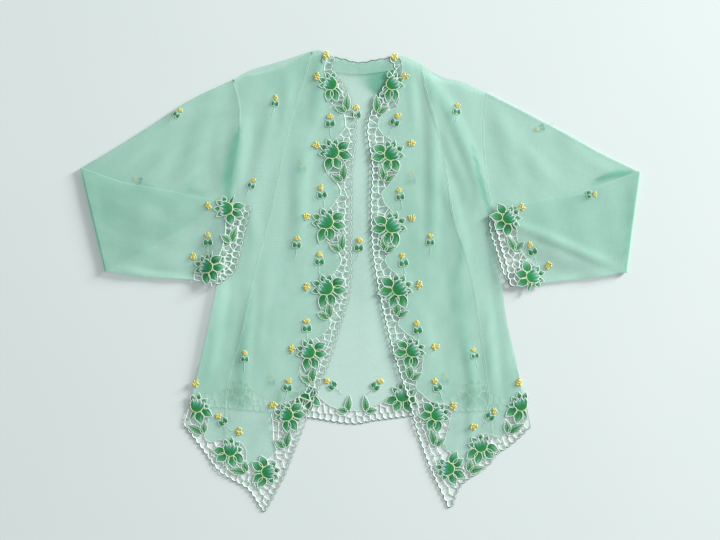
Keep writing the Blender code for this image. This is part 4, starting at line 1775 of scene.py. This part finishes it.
@dataclass
class Sleeve:
    """A sleeve pressed flat and folded back at the elbow, with its cuff's openwork."""

    plan: HalfPlan
    flowers: tuple
    pairs: tuple
    sprigs: tuple
    far_sprigs: tuple
    berries: tuple
    seed: int
    # Painted shade at the folded rims and elbow, partly for the fold doubling the cloth.
    fold_doubling_and_shade: float
    fold: float = 0.22
    cols: int = 34
    upper_rows: int = 46
    fore_rows: int = 40
    turn_rows: int = 8

    @staticmethod
    def _shares(count: int, first: bool, last: bool, near: float) -> Points:
        """Even shares from 0 to 1, with one more close to each end that is folded."""
        low, high = near if first else 0.0, 1 - near if last else 1.0
        inner = np.linspace(low, high, count + 1 - first - last)
        return np.concatenate([[0.0] * first, inner, [1.0] * last])

    def _along(self, points: Sequence, shares: Points) -> Points:
        """Places at shares of the smooth curve through some points."""
        fine = even_curve(points, 120)
        return line_at(fine, shares * reach_of(fine)[-1])

    def _ring(self, line: Points, outer: Points, inner: Points) -> Points:
        """Closed ring round the flattened sleeve, from its under edge over the outer wall and back."""
        top = (line[0] - line[1]) / np.linalg.norm(line[0] - line[1]) * STEP * self.fold
        under = (line[-1] - line[-2]) / np.linalg.norm(line[-1] - line[-2]) * STEP * self.fold
        over = np.column_stack([line, outer])[::-1]
        below = np.column_stack([line, inner])
        under_rim = np.append(line[-1] + under, (outer[-1] + inner[-1]) / 2)
        top_rim = np.append(line[0] + top, (outer[0] + inner[0]) / 2)
        return np.vstack([under_rim, over, top_rim, below, under_rim])

    def build(self, form: Form, finishes: Finishes, berry: tuple[Points, Points], armhole: Points) -> None:
        """Builds the sleeve, its openwork and its embroidery."""
        name = self.plan.name
        across = self._shares(self.cols, True, True, 0.006)
        down = self._shares(self.upper_rows, False, True, 0.004)
        line = spaced(armhole, 5.0)
        line = line_at(line, across * reach_of(line)[-1])
        elbow = self._along((self.plan.upper_top[-1], self.plan.upper_under[-1]), across)
        upper = patch(line, elbow, self._along(self.plan.upper_top, down), self._along(self.plan.upper_under, down))
        cuff = self._along(self.plan.cuff, across)
        whole = patch(elbow, cuff, even_curve(self.plan.fore_top, self.fore_rows),
                      even_curve(self.plan.fore_under, self.fore_rows))
        fore = self._cut_at_border(whole)
        rings = [self._ring(row, form.height(row, Level.FRONT), form.height(row, Level.BACK)) for row in upper]
        rings += self._turn(form, upper[-1], upper[-1] - upper[-3])
        rings += [self._ring(row, form.height(row, Level.INNER), form.height(row, Level.OUTER)) for row in fore]
        rings = np.array(rings)
        marks = self._marks(form, rings)
        piece = roll_cloth(f"sleeve_cloth_{name}", rings, marks)
        piece.data.materials.append(finishes.sleeve)
        laces = []
        stitched = Stitchery(form)
        inner_line = fore[-1]
        walls = ((Level.OUTER, self.plan.cuff, "upper"), (Level.INNER, self.plan.cuff_under, "lower"))
        for level, edge_points, label in walls:
            edge = even_curve(edge_points, 60)
            border = CutworkBorder(edge, Outline(np.vstack([edge, inner_line[::-1]])), level,
                                   self.seed + int(level))
            laces.append(border.build(f"cuff_openwork_{label}_{name}", form, finishes.net))
            border.bind(stitched, inner_line)
        worker = Embroiderer(stitched, berry, self.seed)
        for x, y, angle, leaves in self.flowers:
            worker.flower(x, y, angle, Level.OUTER, leaves=leaves)
        worker.pairs_and_sprigs(self.pairs, 26, 0.95, self.sprigs, Level.OUTER)
        for x, y, angle, size, level in self.far_sprigs:
            worker.sprig(x, y, angle, level, size)
        for x, y in self.berries:
            worker.knots(x, y, 5.0, 10, Level.OUTER, 1.3)
        work = stitched.build(f"cuff_embroidery_{name}", finishes.threads)
        dress(piece, Slot.SLEEVE, f"sleeve_{name}")
        dress(laces[0], Slot.BORDER, f"cuff_border_{name}")
        dress(laces[1], Slot.BORDER)
        dress(work, Slot.BORDER)

    def _cut_at_border(self, whole: Points) -> Points:
        """Forearm's rows from the elbow to the border, whose inner line swells at its flowers."""
        rows = len(whole) - 1
        share = np.linspace(0, 1, whole.shape[1])
        depth = 26 + 15 * np.exp(-((share - 0.07) / 0.14) ** 2) + 20 * np.exp(-((share - 0.84) / 0.15) ** 2)
        made = np.empty_like(whole)
        for c in range(whole.shape[1]):
            total = reach_of(whole[:, c])[-1]
            made[:, c] = line_at(whole[:, c], self._shares(rows, True, False, 0.005) * (total - depth[c]))
        return made

    def _turn(self, form: Form, line: Points, ahead: Points) -> list[Points]:
        """Rings round the elbow, where the flattened sleeve turns back over itself."""
        out = ahead[:, :2].mean(0)
        out = out / np.linalg.norm(out)
        low = np.stack([form.height(line, Level.BACK), form.height(line, Level.FRONT)])
        high = np.stack([form.height(line, Level.OUTER), form.height(line, Level.INNER)])
        rings = []
        for step in range(1, self.turn_rows):
            angle = math.pi * step / self.turn_rows
            walls = []
            for wall in range(2):
                middle, radius = (low[wall] + high[wall]) / 2, (high[wall] - low[wall]) / 2
                bulge = math.sin(angle) * (radius + 0.5 * (1 - wall))
                walls.append(np.column_stack([line + out * bulge[:, None], middle - math.cos(angle) * radius]))
            outer, inner = walls
            top = (line[0] - line[1]) / np.linalg.norm(line[0] - line[1]) * STEP * self.fold
            under = (line[-1] - line[-2]) / np.linalg.norm(line[-1] - line[-2]) * STEP * self.fold
            under_rim = (outer[-1] + inner[-1]) / 2 + np.append(under, 0)
            top_rim = (outer[0] + inner[0]) / 2 + np.append(top, 0)
            rings.append(np.vstack([under_rim, inner[::-1], top_rim, outer, under_rim]))
        return rings

    def _marks(self, form: Form, rings: Points) -> Points:
        """How much each ring's cloth lies double, with painted shade at the folded rims and round the elbow."""
        marks = np.zeros(rings.shape[:2])
        upper = self.upper_rows + 1
        half = self.cols + 2
        for rows, level in ((slice(0, upper), Level.FRONT), (slice(upper + self.turn_rows - 1, None), Level.OUTER)):
            block = rings[rows]
            found = form.doubling_and_shade(block[:, :, :2].reshape(-1, 2), level).reshape(block.shape[:2])
            keep = np.zeros(block.shape[1], bool)
            keep[:half if level == Level.FRONT else 0] = True
            if level == Level.OUTER:
                keep[half:] = True
            marks[rows] = found * keep
        # Painted shade at the folded rims and round the elbow, partly for the fold doubling the cloth; the right
        # sleeve gets more, as its folds face the key light.
        marks[:upper, [0, half, -1]] = self.fold_doubling_and_shade
        marks[upper:upper + self.turn_rows - 1] = self.fold_doubling_and_shade
        fore = upper + self.turn_rows - 1
        # The forearm's folded rims get painted shade, partly for the fold doubling the cloth.
        marks[fore:, [0, half, -1]] = 1.1
        return marks


@dataclass
class Back:
    """The back panel, its border and embroidery, and the neck band."""

    spacing: float = 5.5
    flowers: tuple = ((-181, -166, 78), (-80, -170, 84), (64, -173, 96), (172, -166, 100))
    pairs: tuple = ((-122, -186, 62, True), (-18, -196, 110, False), (10, -196, 70, True), (118, -184, 118, False))
    sprigs: tuple = ((-5, 249, 92, 1.0), (-1, 50, 84, 1.0), (-41, -157, 140, 1.0), (24, -158, 45, 1.0),
                     (-86, 168, 90, 1.0), (78, 150, 90, 1.0), (-132, -152, 90, 0.9), (128, -150, 90, 0.9))
    seed: int = 41

    def build(self, form: Form, finishes: Finishes, berry: tuple[Points, Points], sides: dict[str, Points]) -> None:
        """Builds the back with everything on it."""
        left, right = sides["left"][:-4], sides["right"][:-4]
        top_points = LEFT.back_shoulder + ((-54, 345),) + NECK + ((64, 338),) + RIGHT.back_shoulder[::-1]
        top = even_curve(top_points, 110)
        hem = even_curve(((-254, -184), *BACK_HEM[1:-1], (249, -192)), 130)
        swell = 17 + sum(24 * np.exp(-((hem[:, 0] - x) / 26) ** 2) for x, _, _ in self.flowers)
        inner = hem + np.column_stack([np.zeros(len(hem)), swell])
        inner[0], inner[-1] = left[-1], right[-1]
        outline = Outline(np.vstack([top[1:-1], right, inner[1:-1][::-1], left[::-1]]))
        panel = lay_cloth("back_cloth", outline, Level.BACK, form, self.spacing)
        panel.data.materials.append(finishes.body)
        border = CutworkBorder(hem, Outline(np.vstack([hem, inner[::-1]])), Level.BACK, self.seed)
        lace = border.build("openwork_back", form, finishes.net)
        stitched = Stitchery(form)
        border.bind(stitched, inner)
        neck_edge = even_curve(NECK, 60)
        wavy = neck_edge + normals_of(neck_edge) * (0.5 * np.sin(np.linspace(0, 40, 61)))[:, None]
        stitched.cord(wavy, 0.6, Thread.EDGE, Level.FRONT, 0.1)
        worker = Embroiderer(stitched, berry, self.seed)
        for x, y, angle in self.flowers:
            worker.flower(x, y, angle, Level.BACK)
        worker.pairs_and_sprigs(self.pairs, 30, 0.9, self.sprigs, Level.BACK)
        work = stitched.build("embroidery_back", finishes.threads)
        band_outline = Outline(np.vstack([neck_edge, even_curve(NECK_UNDER, 30)[::-1]]))
        band = lay_cloth("neck_band_cloth", band_outline, Level.FRONT, form, 4.0)
        band.data.materials.append(finishes.body)
        dress(panel, Slot.BODY, "back_panel")
        dress(lace, Slot.BORDER, "back_hem_border")
        dress(band, Slot.BODY, "neck_band")
        dress(work, Slot.BORDER)


@dataclass(frozen=True)
class Studio:
    """Plain pale floor, one low soft light from the right, and the camera above."""

    frame_width: float = 1080.0
    lens: float = 85.0
    sensor: float = 36.0
    centre: tuple = (0.75, 16.1)
    sky: float = 0.51
    key_power: float = 910.0
    key_distance: float = 6.5
    key_height: float = 1.6
    key_turn: float = 30.0
    key_size: float = 1.9

    def build(self) -> None:
        """Builds the floor, the lights and the camera."""
        self._floor()
        self._lights()
        self._camera()

    def _floor(self) -> None:
        """A wide floor at the underside of the blouse."""
        bpy.ops.object.select_all(action="DESELECT")
        bpy.ops.mesh.primitive_plane_add(size=14.0, location=(0, 0, 0))
        floor = bpy.context.object
        floor.name = "floor"
        material, bench, shader = new_material("pale floor")
        place = bench.node("ShaderNodeTexCoord").outputs["Object"]
        cloud = bench.noise(place, 3.0, 3.0)
        bench.feed(shader.inputs["Base Color"], bench.mix(cloud, linear(221, 231, 231), linear(227, 236, 235)))
        finish_surface(shader, roughness=0.85, specular=0.2)
        floor.data.materials.append(material)

    def _lights(self) -> None:
        """Even light from all round and a low soft key from the right."""
        world = bpy.data.worlds.new("studio")
        world.use_nodes = True
        background = world.node_tree.nodes["Background"]
        background.inputs["Color"].default_value = (0.955, 1.0, 0.99, 1.0)
        background.inputs["Strength"].default_value = self.sky
        bpy.context.scene.world = world
        turn = math.radians(self.key_turn)
        place = Vector((math.cos(turn) * self.key_distance, math.sin(turn) * self.key_distance, self.key_height))
        bpy.ops.object.light_add(type="AREA", location=place)
        key = bpy.context.object
        key.name = "key_light"
        key.data.shape = "DISK"
        key.data.size = self.key_size
        key.data.energy = self.key_power
        key.data.color = (1.0, 0.995, 0.975)
        key.rotation_mode = "QUATERNION"
        key.rotation_quaternion = (-place).to_track_quat("-Z", "Y")

    def _camera(self) -> None:
        """A camera straight above, framed as the photograph is."""
        distance = self.frame_width * MM * self.lens / self.sensor
        bpy.ops.object.camera_add(location=(self.centre[0] * MM, self.centre[1] * MM, distance))
        camera = bpy.context.object
        camera.name = "camera"
        camera.rotation_euler = (0, 0, 0)
        camera.data.lens = self.lens
        camera.data.sensor_width = self.sensor
        camera.data.clip_end = 50.0
        scene = bpy.context.scene
        scene.camera = camera
        scene.view_settings.view_transform = "Standard"
        scene.view_settings.look = "None"
        scene.cycles.transparent_max_bounces = 24


LEFT_FRONT = FrontHalf(
    plan=LEFT,
    flowers=((-43, 295, 150, (109, 140, 168)), (-41, 193, 148), (-50, 88, 146), (-50, -11, 150),
             (-76, -107, 152), (-109, -201, 160), (-138, -287, 8), (-194, -254, 80),
             (-244, -188, 74, (-108, -150, 172))),
    pairs=((-20, 254, 108, False), (-26, 150, 104, False), (-28, 45, 104, False), (-46, -56, 108, False),
           (-73, -152, 100, False), (-112, -250, 96, False), (-170, -287, 152, True), (-235, -229, 130, True)),
    sprigs=((-44, 236, 92, 1.0), (-56, 129, 100, 1.0), (-60, 29, 88, 1.0), (-79, -71, 92, 1.0),
            (-108, -160, 80, 1.0), (-205, -211, 130, 1.0), (-127, 266, 78, 0.85), (-162, 143, 64, 0.8),
            (-94, 54, 84, 0.9), (-172, -117, 88, 0.85)),
    berries=((-50, 338), (-64, 306), (-65, 203), (-79, 96), (-79, -9), (-101, -102), (-130, -186), (-180, -226),
             (-245, -154)),
    seed=11,
    strokes=(((-54, 336), (-57, 331), (-55, 325)), ((-72, 343), (-70, 340)), ((-190, 302), (-187, 298))),
    seam_shown=0.45,
)

RIGHT_FRONT = FrontHalf(
    plan=RIGHT,
    flowers=((49, 295, 32, (109, 140, 168)), (47, 190, 34), (49, 82, 32), (59, -12, 30), (79, -105, 28),
             (116, -201, 20), (133, -282, 172), (182, -248, 98), (242, -186, 106, (-108, -150, 172))),
    pairs=((27, 252, 74, True), (37, 150, 76, True), (38, 44, 74, True), (56, -53, 72, True),
           (77, -148, 80, True), (113, -247, 84, True), (164, -286, 35, False), (223, -228, 52, False)),
    sprigs=((53, 238, 64, 1.0), (61, 126, 98, 0.9), (66, 27, 100, 1.0), (87, -74, 96, 1.0), (117, -160, 112, 1.0),
            (196, -203, 50, 1.0), (146, 254, 82, 0.85), (106, 58, 90, 0.85), (173, -112, 102, 0.8)),
    berries=((53, 335), (68, 307), (78, 206), (78, 94), (90, -6), (114, -99), (141, -188), (171, -219), (239, -152)),
    seed=23,
    strokes=(((58, 334), (61, 331), (62, 326)),),
)

LEFT_SLEEVE = Sleeve(
    plan=LEFT,
    flowers=((-199, 108, 178, (112, 160, -170, -118)), (-229, 21, 160, (104, 150, -166, -120, -92))),
    pairs=((-193, 58, 92, False),),
    sprigs=((-227, 58, 92, 1.0),),
    far_sprigs=((-274, 249, 48, 0.8, Level.FRONT), (-329, 150, 160, 0.8, Level.BACK)),
    berries=((-226, 112), (-249, 36)),
    seed=5,
    fold_doubling_and_shade=0.5,
)

RIGHT_SLEEVE = Sleeve(
    plan=RIGHT,
    flowers=((223, 94, 34, (96, 140, -172, -130, -96)), (259, 6, 18, (104, 150, -166, -126))),
    pairs=((233, 46, 96, True),),
    sprigs=((259, 44, 108, 1.0),),
    far_sprigs=((344, 129, 6, 0.8, Level.OUTER), (274, 230, 200, 0.8, Level.BACK)),
    berries=((243, 110), (283, 23)),
    seed=7,
    # More painted shade on this sleeve's folds, which face the key light.
    fold_doubling_and_shade=1.1,
)


def main() -> None:
    """Builds the blouse in order, and its studio."""
    logging.basicConfig(level=logging.INFO, format="%(name)s %(message)s")
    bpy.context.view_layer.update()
    form = Form()
    finishes = Finishes.make()
    knot = model_knot()
    sides = {front.plan.name: front.column("side") for front in (LEFT_FRONT, RIGHT_FRONT)}
    Back().build(form, finishes, knot, sides)
    for front, sleeve in ((LEFT_FRONT, LEFT_SLEEVE), (RIGHT_FRONT, RIGHT_SLEEVE)):
        front.build(form, finishes, knot)
        armhole = sides[front.plan.name][:ARMHOLE_POINTS + 1]
        sleeve.build(form, finishes, knot, armhole)
    Studio().build()


if __name__ == "__main__":
    main()
